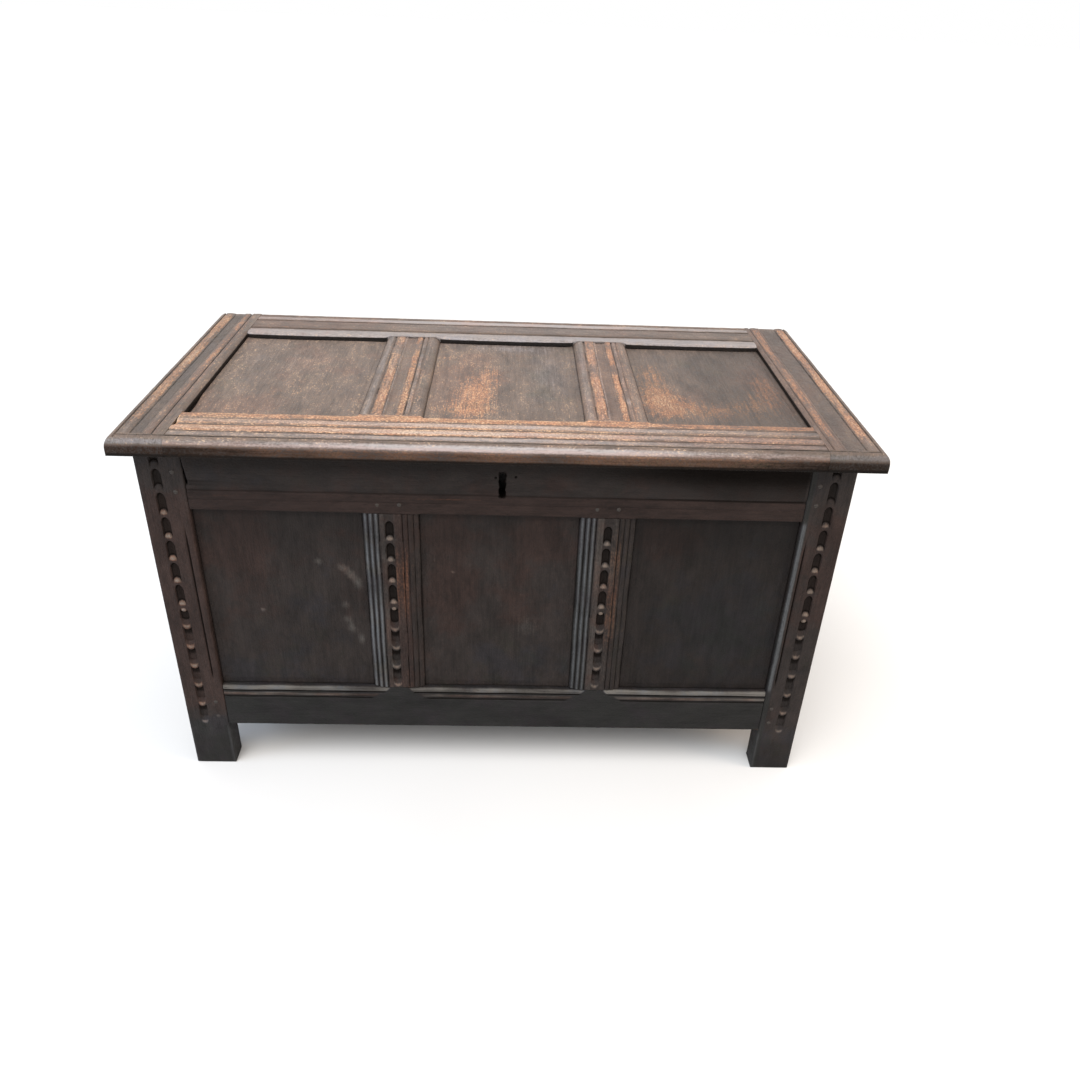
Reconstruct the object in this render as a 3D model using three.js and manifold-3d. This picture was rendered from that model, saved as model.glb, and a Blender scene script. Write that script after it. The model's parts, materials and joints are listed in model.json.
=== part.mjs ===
// Joined oak coffer: a chest of framed panels with a panelled lid on strap hinges.
// Millimetres, +Z up, front towards -Y. The origin lies on the floor under the middle of the lid.
import * as THREE from 'three';
import { mergeVertices } from 'three/addons/utils/BufferGeometryUtils.js';
import Module from 'manifold-3d';

const wasm = await Module();
wasm.setup();

// Body
const bodyWidth = 1045;
const bodyDepth = 531.5;
const footHeight = 90;
const bottomRailHeight = 84;
const openingHeight = 331;
const topRailHeight = 98;
const stileWidth = 67.5;
const stileThickness = 38;
const frontRailThickness = 26;
const plainRailThickness = 24;
const muntinWidth = 84;
const frontMuntinSpacing = 325;
const sideMuntinWidth = 76;

// Lid
const lidThickness = 28.7;
const sideOverhang = 27.5;
const frontOverhang = 27.5;
const backOverhang = 14;
const lidShift = 4;
const lidLeftStileWidth = 80;
const lidRightStileWidth = 88;
const lidFrontRailWidth = 102;
const lidBackRailWidth = 109;
const lidMuntinWidth = 95;
const lidMuntinSpacing = 339;

// Joints of the frames
const fit = 0.3;
const tenonThickness = 9;
const stileTenonLength = 42;
const sideTenonLength = 25;
const railTenonLength = 26;
const tenonShoulder = 10;
const mortiseEnd = 1;
const grooveInset = 8;
const grooveWidth = 7;
const grooveDepth = 9;

// Panels
const panelThickness = 10;
const panelPlay = 1;
const panelBevelWidth = 28;

// Mouldings
const thumbnailWidth = 11;
const thumbnailDrop = 13;
const quirkWidth = 3;
const quirkDepth = 3;
const thumbnailSteps = 6;
const scratchWidth = 4;
const scratchDepth = 2;
const stileScratchInset = 15;
const stopLength = 14;

// Floor
const floorBoardCount = 4;
const floorThickness = 14;
const floorHeight = 20;
const floorHousing = 10;
const floorGap = 0.6;

// Pegs
const pegDiameter = 7;
const pegLength = 24;
const pegProud = 0.6;
const pegSides = 8;
const pegInset = 15;

// Keyhole and lock
const keyholeWidth = 9;
const keyholeHeight = 43;
const keyholeDrop = 25;
const keyholeShift = 3;
const keyholeSides = 12;
const lockCaseWidth = 90;
const lockCaseHeight = 66;
const lockCaseDepth = 16;
const lockCaseDrop = 10;
const lockWall = 2.5;
const lockFlange = 15;
const lockFlangeRise = 4;
const boltLength = 44;
const boltHeight = 7;
const boltThickness = 4;
const boltTravel = 14;
const boltDrop = 18;
const boltOverlap = 4;
const guideLength = 26;
const guideHeight = 5;
const guideReach = 10;
const eyeThickness = 5;
const eyeWidth = 8.4;
const eyeLip = 3.5;
const eyeSlack = 0.5;
const eyeClearance = 2;
const staplePlateLength = 50;
const staplePlateWidth = 15;
const staplePlateThickness = 2.5;

// Hinges
const knuckleRadius = 6;
const knuckleSides = 16;
const strapKnuckleLength = 12;
const pinRadius = 3;
const pinHeadRadius = 4.5;
const pinHeadLength = 1.5;
const strapWidth = 34;
const strapThickness = 3;
const strapLength = 200;
const strapTipLength = 24;
const strapTipWidth = 12;
const leafHeight = 80;
const notchClearance = 1;

// Every cut runs this far past the wood it cuts.
const overrun = 5;

// Sizes that follow from the ones above
const railTop = footHeight + bottomRailHeight;
const openingTop = railTop + openingHeight;
const bodyHeight = openingTop + topRailHeight;
const lidWidth = bodyWidth + 2 * sideOverhang;
const lidDepth = frontOverhang + bodyDepth + backOverhang;
const lidUnderside = bodyHeight + fit;
const bodyBack = lidDepth / 2 - backOverhang;
const bodyCentreY = bodyBack - bodyDepth / 2;
const tenonInset = grooveInset;
const tongueThickness = grooveWidth - 2 * fit;

function finish(name, color, roughness, metalness) {
  return new THREE.MeshStandardMaterial({ name, color, roughness, metalness });
}
const topOak = finish('top_oak', 0x6b4a34, 0.5, 0);
const frontOak = finish('front_oak', 0x32221c, 0.55, 0);
const plainOak = finish('plain_oak', 0x46352a, 0.7, 0);
const iron = finish('iron', 0x2b2a2a, 0.6, 0.8);

// Turns a closed three.js geometry into a solid that can be cut and joined.
function solidOf(geometry) {
  geometry.deleteAttribute('normal');
  geometry.deleteAttribute('uv');
  const merged = mergeVertices(geometry);
  return new wasm.Manifold(new wasm.Mesh({
    numProp: 3,
    vertProperties: new Float32Array(merged.attributes.position.array),
    triVerts: new Uint32Array(merged.index.array),
  }));
}

function block(x0, x1, y0, y1, z0, z1) {
  const geometry = new THREE.BoxGeometry(x1 - x0, y1 - y0, z1 - z0);
  geometry.translate((x0 + x1) / 2, (y0 + y1) / 2, (z0 + z1) / 2);
  return solidOf(geometry);
}

// A prism along x or z. Its outline lists points in y and z, or in x and y.
const prismBases = {
  x: [[0, 1, 0], [0, 0, 1], [1, 0, 0]],
  z: [[1, 0, 0], [0, 1, 0], [0, 0, 1]],
};
function prism(along, outline, from, to) {
  const shape = new THREE.Shape(outline.map(([a, b]) => new THREE.Vector2(a, b)));
  const geometry = new THREE.ExtrudeGeometry(shape, { depth: to - from, bevelEnabled: false });
  geometry.translate(0, 0, from);
  const basis = prismBases[along].map((direction) => new THREE.Vector3(...direction));
  geometry.applyMatrix4(new THREE.Matrix4().makeBasis(...basis));
  return solidOf(geometry);
}

// A cylinder along x or y, about a centre given in y and z, or in x and z.
function cylinder(along, radius, centre, from, to, sides) {
  const geometry = new THREE.CylinderGeometry(radius, radius, to - from, sides);
  const middle = (from + to) / 2;
  if (along === 'x') {
    geometry.rotateZ(-Math.PI / 2);
    geometry.translate(middle, centre[0], centre[1]);
  } else {
    geometry.translate(centre[0], middle, centre[1]);
  }
  return solidOf(geometry);
}

const cutAll = (body, cuts) => cuts.reduce((rest, cut) => rest.subtract(cut), body);
const joinAll = (body, parts) => parts.reduce((rest, part) => rest.add(part), body);

function meshOf(name, solid, material) {
  const { vertProperties, triVerts } = solid.getMesh();
  const geometry = new THREE.BufferGeometry();
  geometry.setAttribute('position', new THREE.BufferAttribute(new Float32Array(vertProperties), 3));
  geometry.setIndex(new THREE.BufferAttribute(new Uint32Array(triVerts), 1));
  geometry.computeVertexNormals();
  const mesh = new THREE.Mesh(geometry, material);
  mesh.name = name;
  return mesh;
}

// Framed panelling, in a frame's own directions: x along the face, y inwards from it, z across the rails.
// A V-shaped scratch, cut along x (at height z) or along z (at place x) in the face at y = 0.
function scratchAlongX(z, from, to) {
  const half = scratchWidth / 2;
  const outline = [[-overrun, z - half], [0, z - half], [scratchDepth, z], [0, z + half],
    [-overrun, z + half]];
  return prism('x', outline, from, to);
}
function scratchAlongZ(x, from, to) {
  const half = scratchWidth / 2;
  const outline = [[x - half, -overrun], [x + half, -overrun], [x + half, 0], [x, scratchDepth],
    [x - half, 0]];
  return prism('z', outline, from, to);
}

// The panel groove's place in a member's thickness, and a tenon's.
const grooveFront = grooveInset;
const grooveBack = grooveInset + grooveWidth;
const tenonFront = tenonInset + fit;
const tenonBack = tenonInset + tenonThickness - fit;

// A rail from shoulder to shoulder, with a tenon at each end and a groove along the edge that holds panels.
function rail(spec, low, high, panelEdge) {
  const { left, right, thickness, stileTenon } = spec;
  const body = block(left + fit, right - fit, 0, thickness, low, high);
  const tenon = block(left - stileTenon, right + stileTenon, tenonFront, tenonBack,
    low + tenonShoulder, high - tenonShoulder);
  const inward = panelEdge === 'high' ? high : low;
  const grooveLow = panelEdge === 'high' ? inward - grooveDepth : inward - overrun;
  const grooveHigh = panelEdge === 'high' ? inward + overrun : inward + grooveDepth;
  const groove = block(left, right, grooveFront, grooveBack, grooveLow, grooveHigh);
  const mortiseLow = panelEdge === 'high' ? inward - railTenonLength - mortiseEnd : inward - overrun;
  const mortiseHigh = panelEdge === 'high' ? inward + overrun : inward + railTenonLength + mortiseEnd;
  const mortises = spec.muntins.map((centre) => block(
    centre - spec.muntinWidth / 2 + tenonShoulder - fit,
    centre + spec.muntinWidth / 2 - tenonShoulder + fit,
    tenonInset, tenonInset + tenonThickness, mortiseLow, mortiseHigh,
  ));
  return cutAll(body.add(tenon), [groove, ...mortises]);
}

function muntin(spec, centre) {
  const left = centre - spec.muntinWidth / 2;
  const right = centre + spec.muntinWidth / 2;
  const body = block(left, right, 0, spec.thickness, spec.openingLow + fit, spec.openingHigh - fit);
  const tenon = block(left + tenonShoulder, right - tenonShoulder, tenonFront, tenonBack,
    spec.openingLow - railTenonLength, spec.openingHigh + railTenonLength);
  const grooveEnds = [spec.openingLow, spec.openingHigh];
  const leftGroove = block(left - overrun, left + grooveDepth, grooveFront, grooveBack, ...grooveEnds);
  const rightGroove = block(right - grooveDepth, right + overrun, grooveFront, grooveBack, ...grooveEnds);
  return cutAll(body, [leftGroove, rightGroove]).add(tenon);
}

// A panel that fills the opening between left and right, with its edges feathered at the back to a tongue.
function panel(spec, left, right) {
  const reach = grooveDepth - panelPlay;
  const front = grooveFront + fit;
  const tongueBack = front + tongueThickness;
  const back = front + panelThickness;
  const section = (low, high) => [
    [low - reach, front], [high + reach, front], [high + reach, tongueBack], [high - fit, tongueBack],
    [high - panelBevelWidth, back], [low + panelBevelWidth, back],
    [low + fit, tongueBack], [low - reach, tongueBack],
  ];
  const { openingLow, openingHigh } = spec;
  const swap = ([a, b]) => [b, a];
  const acrossX = prism('z', section(left, right), openingLow - reach, openingHigh + reach);
  const acrossZ = prism('x', section(openingLow, openingHigh).map(swap), left - reach, right + reach);
  return acrossX.intersect(acrossZ);
}

// All members of one frame between its stiles.
function framing(spec) {
  const edges = [spec.left];
  for (const centre of spec.muntins) edges.push(centre - spec.muntinWidth / 2, centre + spec.muntinWidth / 2);
  edges.push(spec.right);
  const panels = [];
  for (let i = 0; i < edges.length; i += 2) panels.push(panel(spec, edges[i], edges[i + 1]));
  return {
    lowRail: rail(spec, spec.lowEdge, spec.openingLow, 'high'),
    highRail: rail(spec, spec.openingHigh, spec.highEdge, 'low'),
    muntins: spec.muntins.map((centre) => muntin(spec, centre)),
    panels,
  };
}

const bodyHeights = {
  lowEdge: footHeight,
  openingLow: railTop,
  openingHigh: openingTop,
  highEdge: bodyHeight,
};
const innerHalfWidth = bodyWidth / 2 - stileWidth;
const innerHalfDepth = bodyDepth / 2 - stileThickness;
const frontSpec = {
  ...bodyHeights,
  left: -innerHalfWidth,
  right: innerHalfWidth,
  muntins: [-frontMuntinSpacing / 2, frontMuntinSpacing / 2],
  muntinWidth,
  thickness: frontRailThickness,
  stileTenon: stileTenonLength,
};
const backSpec = { ...frontSpec, thickness: plainRailThickness };
const sideSpec = {
  ...bodyHeights,
  left: -innerHalfDepth,
  right: innerHalfDepth,
  muntins: [0],
  muntinWidth: sideMuntinWidth,
  thickness: plainRailThickness,
  stileTenon: sideTenonLength,
};
const lidSpec = {
  lowEdge: 0,
  openingLow: lidFrontRailWidth,
  openingHigh: lidDepth - lidBackRailWidth,
  highEdge: lidDepth,
  left: -lidWidth / 2 + lidLeftStileWidth,
  right: lidWidth / 2 - lidRightStileWidth,
  muntins: [-lidMuntinSpacing / 2, lidMuntinSpacing / 2],
  muntinWidth: lidMuntinWidth,
  thickness: lidThickness,
  stileTenon: stileTenonLength,
};

// Frames are groups turned so that their y points into the chest.
function placedFrame(x, y, z, turnX, turnZ) {
  const group = new THREE.Group();
  group.position.set(x, y, z);
  group.rotation.set(turnX, 0, turnZ);
  return group;
}

// Pegs: two through each tenon of the front rails, as shares of the rail's height.
const pegHeightShares = { bottom: { lower: 0.2, upper: 0.57 }, top: { lower: 0.3, upper: 0.63 } };
const railSpans = { bottom: [footHeight, bottomRailHeight], top: [openingTop, topRailHeight] };
const frontPegHeights = Object.entries(pegHeightShares).flatMap(([railName, shares]) => (
  Object.entries(shares).map(([place, share]) => {
    const [low, height] = railSpans[railName];
    return { railName, place, z: low + share * height };
  })
));

// Corner stiles, in the chest's own directions; sx and sy say which corner.
function cornerStile(sx, sy) {
  const span = (sign, a, b) => (sign > 0 ? [a, b] : [-b, -a]);
  const outerX = bodyWidth / 2;
  const outerY = bodyDepth / 2;
  const innerX = outerX - stileWidth;
  const innerY = outerY - stileThickness;
  const post = block(...span(sx, innerX, outerX), ...span(sy, innerY, outerY), 0, bodyHeight);
  const rails = [[footHeight, railTop], [openingTop, bodyHeight]];
  const cuts = [];
  for (const [low, high] of rails) {
    const mortiseLow = low + tenonShoulder - fit;
    const mortiseHigh = high - tenonShoulder + fit;
    const deepX = innerX + stileTenonLength + mortiseEnd;
    const deepY = innerY + sideTenonLength + mortiseEnd;
    const nearY = outerY - tenonInset - tenonThickness;
    const nearX = outerX - tenonInset - tenonThickness;
    cuts.push(block(...span(sx, innerX - overrun, deepX), ...span(sy, nearY, nearY + tenonThickness),
      mortiseLow, mortiseHigh));
    cuts.push(block(...span(sx, nearX, nearX + tenonThickness), ...span(sy, innerY - overrun, deepY),
      mortiseLow, mortiseHigh));
  }
  const grooveX = span(sx, innerX - overrun, innerX + grooveDepth);
  const grooveY = span(sy, innerY - overrun, innerY + grooveDepth);
  const grooveEnds = [railTop - grooveDepth, openingTop + grooveDepth];
  cuts.push(block(...grooveX, ...span(sy, outerY - grooveBack, outerY - grooveFront), ...grooveEnds));
  cuts.push(block(...span(sx, outerX - grooveBack, outerX - grooveFront), ...grooveY, ...grooveEnds));
  if (sy < 0) {
    for (const { z } of frontPegHeights) {
      cuts.push(cylinder('y', pegDiameter / 2 + fit, [sx * (innerX + pegInset), z],
        -outerY - overrun, -outerY + pegLength + fit, pegSides));
    }
    const groove = scratchAlongZ(sx * (innerX + stileScratchInset), railTop, openingTop - stopLength);
    cuts.push(groove.translate([0, -outerY, 0]));
  }
  return cutAll(post, cuts);
}

// The front rails' own cuts: pegs, scratch mouldings and the keyhole.
const frontPegCuts = frontPegHeights.flatMap(({ z }) => [-1, 1].map((sx) => cylinder(
  'y', pegDiameter / 2 + fit, [sx * (innerHalfWidth + pegInset), z], -overrun, pegLength + fit, pegSides,
)));
const topRailScratchShares = [0.14, 0.25, 0.33];
const bottomRailScratchShares = [0.14, 0.3];
const muntinScratchShares = [0.11, 0.22, 0.33];
const topRailScratches = topRailScratchShares.map((share) => scratchAlongX(
  openingTop + share * topRailHeight, -innerHalfWidth - overrun, innerHalfWidth + overrun,
));
const bottomRailScratches = bottomRailScratchShares.flatMap((share) => {
  const z = railTop - share * bottomRailHeight;
  const stops = [-innerHalfWidth, -frontMuntinSpacing / 2, frontMuntinSpacing / 2, innerHalfWidth];
  return [0, 1, 2].map((bay) => scratchAlongX(
    z, stops[bay] + (bay === 0 ? stopLength : muntinWidth / 2),
    stops[bay + 1] - (bay === 2 ? stopLength : muntinWidth / 2),
  ));
});
function muntinScratches(centre) {
  return muntinScratchShares.flatMap((share) => [-1, 1].map((side) => scratchAlongZ(
    centre + side * muntinWidth * (0.5 - share), railTop - overrun, openingTop + overrun,
  )));
}

// The keyhole is a slot with round ends.
function keyholeCut(depth) {
  const radius = keyholeWidth / 2;
  const high = bodyHeight - keyholeDrop - radius;
  const low = high - keyholeHeight + keyholeWidth;
  return joinAll(block(keyholeShift - radius, keyholeShift + radius, -overrun, depth, low, high), [
    cylinder('y', radius, [keyholeShift, low], -overrun, depth, keyholeSides),
    cylinder('y', radius, [keyholeShift, high], -overrun, depth, keyholeSides),
  ]);
}

// Housing for the ends of the floor boards, in a bottom rail's inner face.
function floorGroove(spec) {
  const low = footHeight + floorHeight;
  return block(spec.left - overrun, spec.right + overrun, spec.thickness - floorHousing,
    spec.thickness + overrun, low, low + floorThickness + 2 * fit);
}

// Floor boards, notched round the corner stiles.
const floorTop = footHeight + floorHeight + floorThickness;
function floorBoards() {
  const halfWidth = bodyWidth / 2 - plainRailThickness + floorHousing - panelPlay;
  const front = -bodyDepth / 2 + frontRailThickness - floorHousing + panelPlay;
  const back = bodyDepth / 2 - plainRailThickness + floorHousing - panelPlay;
  const low = footHeight + floorHeight + fit;
  const pitch = (2 * halfWidth + floorGap) / floorBoardCount;
  const boards = [];
  for (let i = 0; i < floorBoardCount; i += 1) {
    const left = -halfWidth + i * pitch;
    let board = block(left, left + pitch - floorGap, front, back, low, low + floorThickness);
    for (const sx of [-1, 1]) {
      for (const sy of [-1, 1]) {
        const cornerX = sx * (bodyWidth / 2 - stileWidth / 2);
        const cornerY = sy * (bodyDepth / 2 - stileThickness / 2);
        const halfX = stileWidth / 2 + fit;
        const halfY = stileThickness / 2 + fit;
        board = board.subtract(block(cornerX - halfX, cornerX + halfX, cornerY - halfY, cornerY + halfY,
          footHeight, floorTop + overrun));
      }
    }
    boards.push(board);
  }
  return boards;
}

// Lid mouldings. The thumbnail and its quirk, as the waste to take off an edge at distance 0, top at y = 0.
const thumbnailWaste = (() => {
  const points = [[-overrun, thumbnailDrop], [0, thumbnailDrop]];
  for (let i = 1; i <= thumbnailSteps; i += 1) {
    const angle = (i / thumbnailSteps) * (Math.PI / 2);
    points.push([thumbnailWidth * (1 - Math.cos(angle)), thumbnailDrop * (1 - Math.sin(angle))]);
  }
  points.push([thumbnailWidth + quirkWidth / 2, quirkDepth], [thumbnailWidth + quirkWidth, 0]);
  points.push([thumbnailWidth + quirkWidth, -overrun], [-overrun, -overrun]);
  return points;
})();
const lidFrontWaste = prism('x', thumbnailWaste.map(([across, down]) => [down, across]),
  -lidWidth / 2 - overrun, lidWidth / 2 + overrun);
function lidSideWaste(side) {
  const outline = thumbnailWaste.map(([across, down]) => [side * (lidWidth / 2 - across), down]);
  return prism('z', side > 0 ? outline : outline.slice().reverse(), -overrun, lidDepth + overrun);
}

// Scratches of the lid members, as shares of the member's width from its outer edge.
const lidFrontRailShares = [0.31, 0.53, 0.77];
const lidBackRailShares = [0.3, 0.8];
const lidStileShares = [0.4, 0.61, 0.78];
const lidMuntinShares = [0.14, 0.38];

function lidStile(side) {
  const width = side < 0 ? lidLeftStileWidth : lidRightStileWidth;
  const outer = side * lidWidth / 2;
  const inner = side * (lidWidth / 2 - width);
  const low = Math.min(outer, inner);
  const high = Math.max(outer, inner);
  const reach = (depth) => (side < 0 ? [inner - depth, inner + overrun] : [inner - overrun, inner + depth]);
  const cuts = [lidFrontWaste, lidSideWaste(side)];
  cuts.push(block(...reach(grooveDepth), grooveFront, grooveBack,
    lidSpec.openingLow - grooveDepth, lidSpec.openingHigh + grooveDepth));
  for (const [a, b] of [[lidSpec.lowEdge, lidSpec.openingLow], [lidSpec.openingHigh, lidSpec.highEdge]]) {
    cuts.push(block(...reach(stileTenonLength + mortiseEnd), tenonInset, tenonInset + tenonThickness,
      a + tenonShoulder - fit, b - tenonShoulder + fit));
  }
  for (const share of lidStileShares) {
    const place = outer - side * share * width;
    cuts.push(scratchAlongZ(place, thumbnailWidth + quirkWidth, lidDepth + overrun));
  }
  return cutAll(block(low, high, 0, lidThickness, 0, lidDepth), cuts);
}

// Hinges, about an axis at the origin: x along the pin, y towards the back, z up.
const strapTop = knuckleRadius;
const pinHalf = strapWidth / 2 + fit;
function knuckle(from, to) {
  return cylinder('x', knuckleRadius, [0, 0], from, to, knuckleSides);
}
const pinBore = cylinder('x', pinRadius + fit, [0, 0], -strapWidth, strapWidth, knuckleSides);
function hingeStrap() {
  const half = strapKnuckleLength / 2;
  const clear = -knuckleRadius - fit;
  const tip = clear - strapLength;
  const shoulder = tip + strapTipLength;
  const outline = [[-strapWidth / 2, clear], [-strapWidth / 2, shoulder], [-strapTipWidth / 2, tip],
    [strapTipWidth / 2, tip], [strapWidth / 2, shoulder], [strapWidth / 2, clear], [half, clear],
    [half, 0], [-half, 0], [-half, clear]];
  const bar = prism('z', outline, strapTop - strapThickness, strapTop);
  return bar.add(knuckle(-half, half)).subtract(pinBore);
}
function hingeLeaf() {
  const half = strapWidth / 2;
  const inner = strapKnuckleLength / 2 + fit;
  const plate = block(-half, half, -knuckleRadius, strapThickness - knuckleRadius, -leafHeight, 0);
  const reliefLow = -knuckleRadius - 2 * fit;
  const relief = block(-inner, inner, -knuckleRadius - overrun, knuckleRadius, reliefLow, overrun);
  return joinAll(plate.subtract(relief), [knuckle(-half, -inner), knuckle(inner, half)]).subtract(pinBore);
}
function hingePin() {
  const tip = pinHalf + pinHeadLength;
  const outline = [[0, -tip], [pinHeadRadius, -tip], [pinHeadRadius, -pinHalf], [pinRadius, -pinHalf],
    [pinRadius, pinHalf], [pinHeadRadius, pinHalf], [pinHeadRadius, tip], [0, tip]];
  const lathe = new THREE.LatheGeometry(outline.map(([r, y]) => new THREE.Vector2(r, y)), knuckleSides);
  lathe.rotateZ(Math.PI / 2);
  return solidOf(lathe);
}
const hingeAxisY = bodyDepth / 2 + fit + knuckleRadius;
const hingeAxisZ = bodyHeight - knuckleRadius;
const hingePlaces = [['left', -lidMuntinSpacing / 2 + lidShift], ['right', lidMuntinSpacing / 2 + lidShift]];
function strapNotch(x) {
  const half = strapWidth / 2 + notchClearance;
  const bottom = bodyHeight - strapThickness - 2 * fit;
  return block(-x - half, -x + half, -overrun, plainRailThickness + overrun, bottom, bodyHeight + overrun);
}

// Lock, in the front frame's directions. The case stands against the top rail's inner face.
const lockFace = frontRailThickness + fit;
const caseTop = bodyHeight - lockCaseDrop;
const caseBottom = caseTop - lockCaseHeight;
const boltLow = bodyHeight - boltDrop - boltHeight;
const eyeLeft = boltOverlap + boltTravel / 2;
const eyeMiddle = lockFace + lockCaseDepth / 2;
const boltHigh = boltLow + boltHeight;
function lockCase() {
  const half = lockCaseWidth / 2;
  const caseBack = lockFace + lockCaseDepth;
  const hollowBack = caseBack - lockWall;
  const flange = block(-half - lockFlange, half + lockFlange, lockFace, lockFace + lockWall,
    caseBottom - lockFlangeRise, caseTop + lockFlangeRise);
  const box = block(-half, half, lockFace, caseBack, caseBottom, caseTop);
  const hollow = block(-half + lockWall, half - lockWall, lockFace - overrun, hollowBack,
    caseBottom + lockWall, caseTop - lockWall);
  const slot = block(eyeLeft - eyeClearance, eyeLeft + eyeThickness + eyeClearance,
    lockFace + lockWall, hollowBack, caseTop - lockWall - overrun, caseTop + overrun);
  const guides = [[boltHigh + fit, boltHigh + guideHeight], [boltLow - guideHeight, boltLow - fit]];
  const guideSolids = guides.map(([low, high]) => block(-half + lockWall - fit,
    -half + lockWall + guideLength, hollowBack - guideReach, hollowBack + fit, low, high));
  return joinAll(cutAll(flange.add(box), [hollow, slot]), guideSolids);
}
function lockBolt() {
  const near = eyeMiddle - boltThickness / 2;
  return block(boltOverlap - boltLength, boltOverlap, near, near + boltThickness, boltLow, boltHigh);
}
function lockStaple() {
  const plateTop = lidUnderside - fit;
  const plateBottom = plateTop - staplePlateThickness;
  const middle = eyeLeft + eyeThickness / 2;
  const plate = block(middle - staplePlateLength / 2, middle + staplePlateLength / 2, lockFace,
    lockFace + staplePlateWidth, plateBottom, plateTop);
  const tongue = block(eyeLeft, eyeLeft + eyeThickness, eyeMiddle - eyeWidth / 2, eyeMiddle + eyeWidth / 2,
    boltLow - eyeSlack - eyeLip, plateBottom + fit);
  const hole = block(eyeLeft - overrun, eyeLeft + eyeThickness + overrun,
    eyeMiddle - boltThickness / 2 - eyeSlack, eyeMiddle + boltThickness / 2 + eyeSlack,
    boltLow - eyeSlack, boltHigh + eyeSlack);
  return plate.add(tongue).subtract(hole);
}

// Assembly
const coffer = new THREE.Group();
coffer.name = 'coffer';
const carcase = placedFrame(-lidShift, bodyCentreY, 0, 0, 0);
const front = placedFrame(0, -bodyDepth / 2, 0, 0, 0);
const back = placedFrame(0, bodyDepth / 2, 0, 0, Math.PI);
const leftSide = placedFrame(-bodyWidth / 2, 0, 0, 0, -Math.PI / 2);
const rightSide = placedFrame(bodyWidth / 2, 0, 0, 0, Math.PI / 2);
const lid = placedFrame(0, -lidDepth / 2, lidUnderside + lidThickness, -Math.PI / 2, 0);
coffer.add(carcase, lid);
carcase.add(front, back, leftSide, rightSide);

for (const [end, sy, material] of [['front', -1, frontOak], ['back', 1, plainOak]]) {
  for (const [side, sx] of [['left', -1], ['right', 1]]) {
    carcase.add(meshOf(`corner_stile_${end}_${side}`, cornerStile(sx, sy), material));
  }
}

const bayNames = ['left', 'middle', 'right'];
const pairNames = ['left', 'right'];
const frontFrame = framing(frontSpec);
front.add(meshOf('front_top_rail', cutAll(frontFrame.highRail, [...frontPegCuts, ...topRailScratches,
  keyholeCut(frontRailThickness + overrun)]), frontOak));
front.add(meshOf('front_bottom_rail', cutAll(frontFrame.lowRail, [...frontPegCuts, ...bottomRailScratches,
  floorGroove(frontSpec)]), frontOak));
frontFrame.muntins.forEach((solid, i) => {
  const scratched = cutAll(solid, muntinScratches(frontSpec.muntins[i]));
  front.add(meshOf(`front_muntin_${pairNames[i]}`, scratched, frontOak));
});
frontFrame.panels.forEach((solid, i) => front.add(meshOf(`front_panel_${bayNames[i]}`, solid, frontOak)));
for (const { railName, place, z } of frontPegHeights) {
  for (const [side, sx] of [['left', -1], ['right', 1]]) {
    const centre = [sx * (innerHalfWidth + pegInset), z];
    const peg = cylinder('y', pegDiameter / 2, centre, -pegProud, pegLength, pegSides);
    front.add(meshOf(`peg_${railName}_${side}_${place}`, peg, frontOak));
  }
}

const backFrame = framing(backSpec);
const strapNotches = hingePlaces.map(([, x]) => strapNotch(x));
back.add(meshOf('back_top_rail', cutAll(backFrame.highRail, strapNotches), plainOak));
back.add(meshOf('back_bottom_rail', backFrame.lowRail.subtract(floorGroove(backSpec)), plainOak));
backFrame.muntins.forEach((solid, i) => back.add(meshOf(`back_muntin_${pairNames[1 - i]}`, solid, plainOak)));
backFrame.panels.forEach((solid, i) => back.add(meshOf(`back_panel_${bayNames[2 - i]}`, solid, plainOak)));

for (const [side, group] of [['left', leftSide], ['right', rightSide]]) {
  const frame = framing(sideSpec);
  const order = side === 'left' ? ['back', 'front'] : ['front', 'back'];
  group.add(meshOf(`${side}_side_top_rail`, frame.highRail, plainOak));
  group.add(meshOf(`${side}_side_bottom_rail`, frame.lowRail.subtract(floorGroove(sideSpec)), plainOak));
  group.add(meshOf(`${side}_side_muntin`, frame.muntins[0], plainOak));
  frame.panels.forEach((solid, i) => group.add(meshOf(`${side}_side_panel_${order[i]}`, solid, plainOak)));
}

floorBoards().forEach((solid, i) => carcase.add(meshOf(`floor_board_${i + 1}`, solid, plainOak)));

const lidFrame = framing(lidSpec);
const lidScratches = (shares, width, edge, way) => shares.map((share) => scratchAlongX(
  edge + way * share * width, lidSpec.left - overrun, lidSpec.right + overrun,
));
lid.add(meshOf('lid_stile_left', lidStile(-1), topOak));
lid.add(meshOf('lid_stile_right', lidStile(1), topOak));
lid.add(meshOf('lid_front_rail', cutAll(lidFrame.lowRail, [lidFrontWaste,
  ...lidScratches(lidFrontRailShares, lidFrontRailWidth, 0, 1)]), topOak));
lid.add(meshOf('lid_back_rail', cutAll(lidFrame.highRail,
  lidScratches(lidBackRailShares, lidBackRailWidth, lidDepth, -1)), topOak));
lidFrame.muntins.forEach((solid, i) => {
  const cuts = lidMuntinShares.flatMap((share) => [-1, 1].map((side) => scratchAlongZ(
    lidSpec.muntins[i] + side * lidMuntinWidth * (0.5 - share), lidSpec.openingLow - overrun,
    lidSpec.openingHigh + overrun,
  )));
  lid.add(meshOf(`lid_muntin_${pairNames[i]}`, cutAll(solid, cuts), topOak));
});
lidFrame.panels.forEach((solid, i) => lid.add(meshOf(`lid_panel_${bayNames[i]}`, solid, topOak)));

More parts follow.
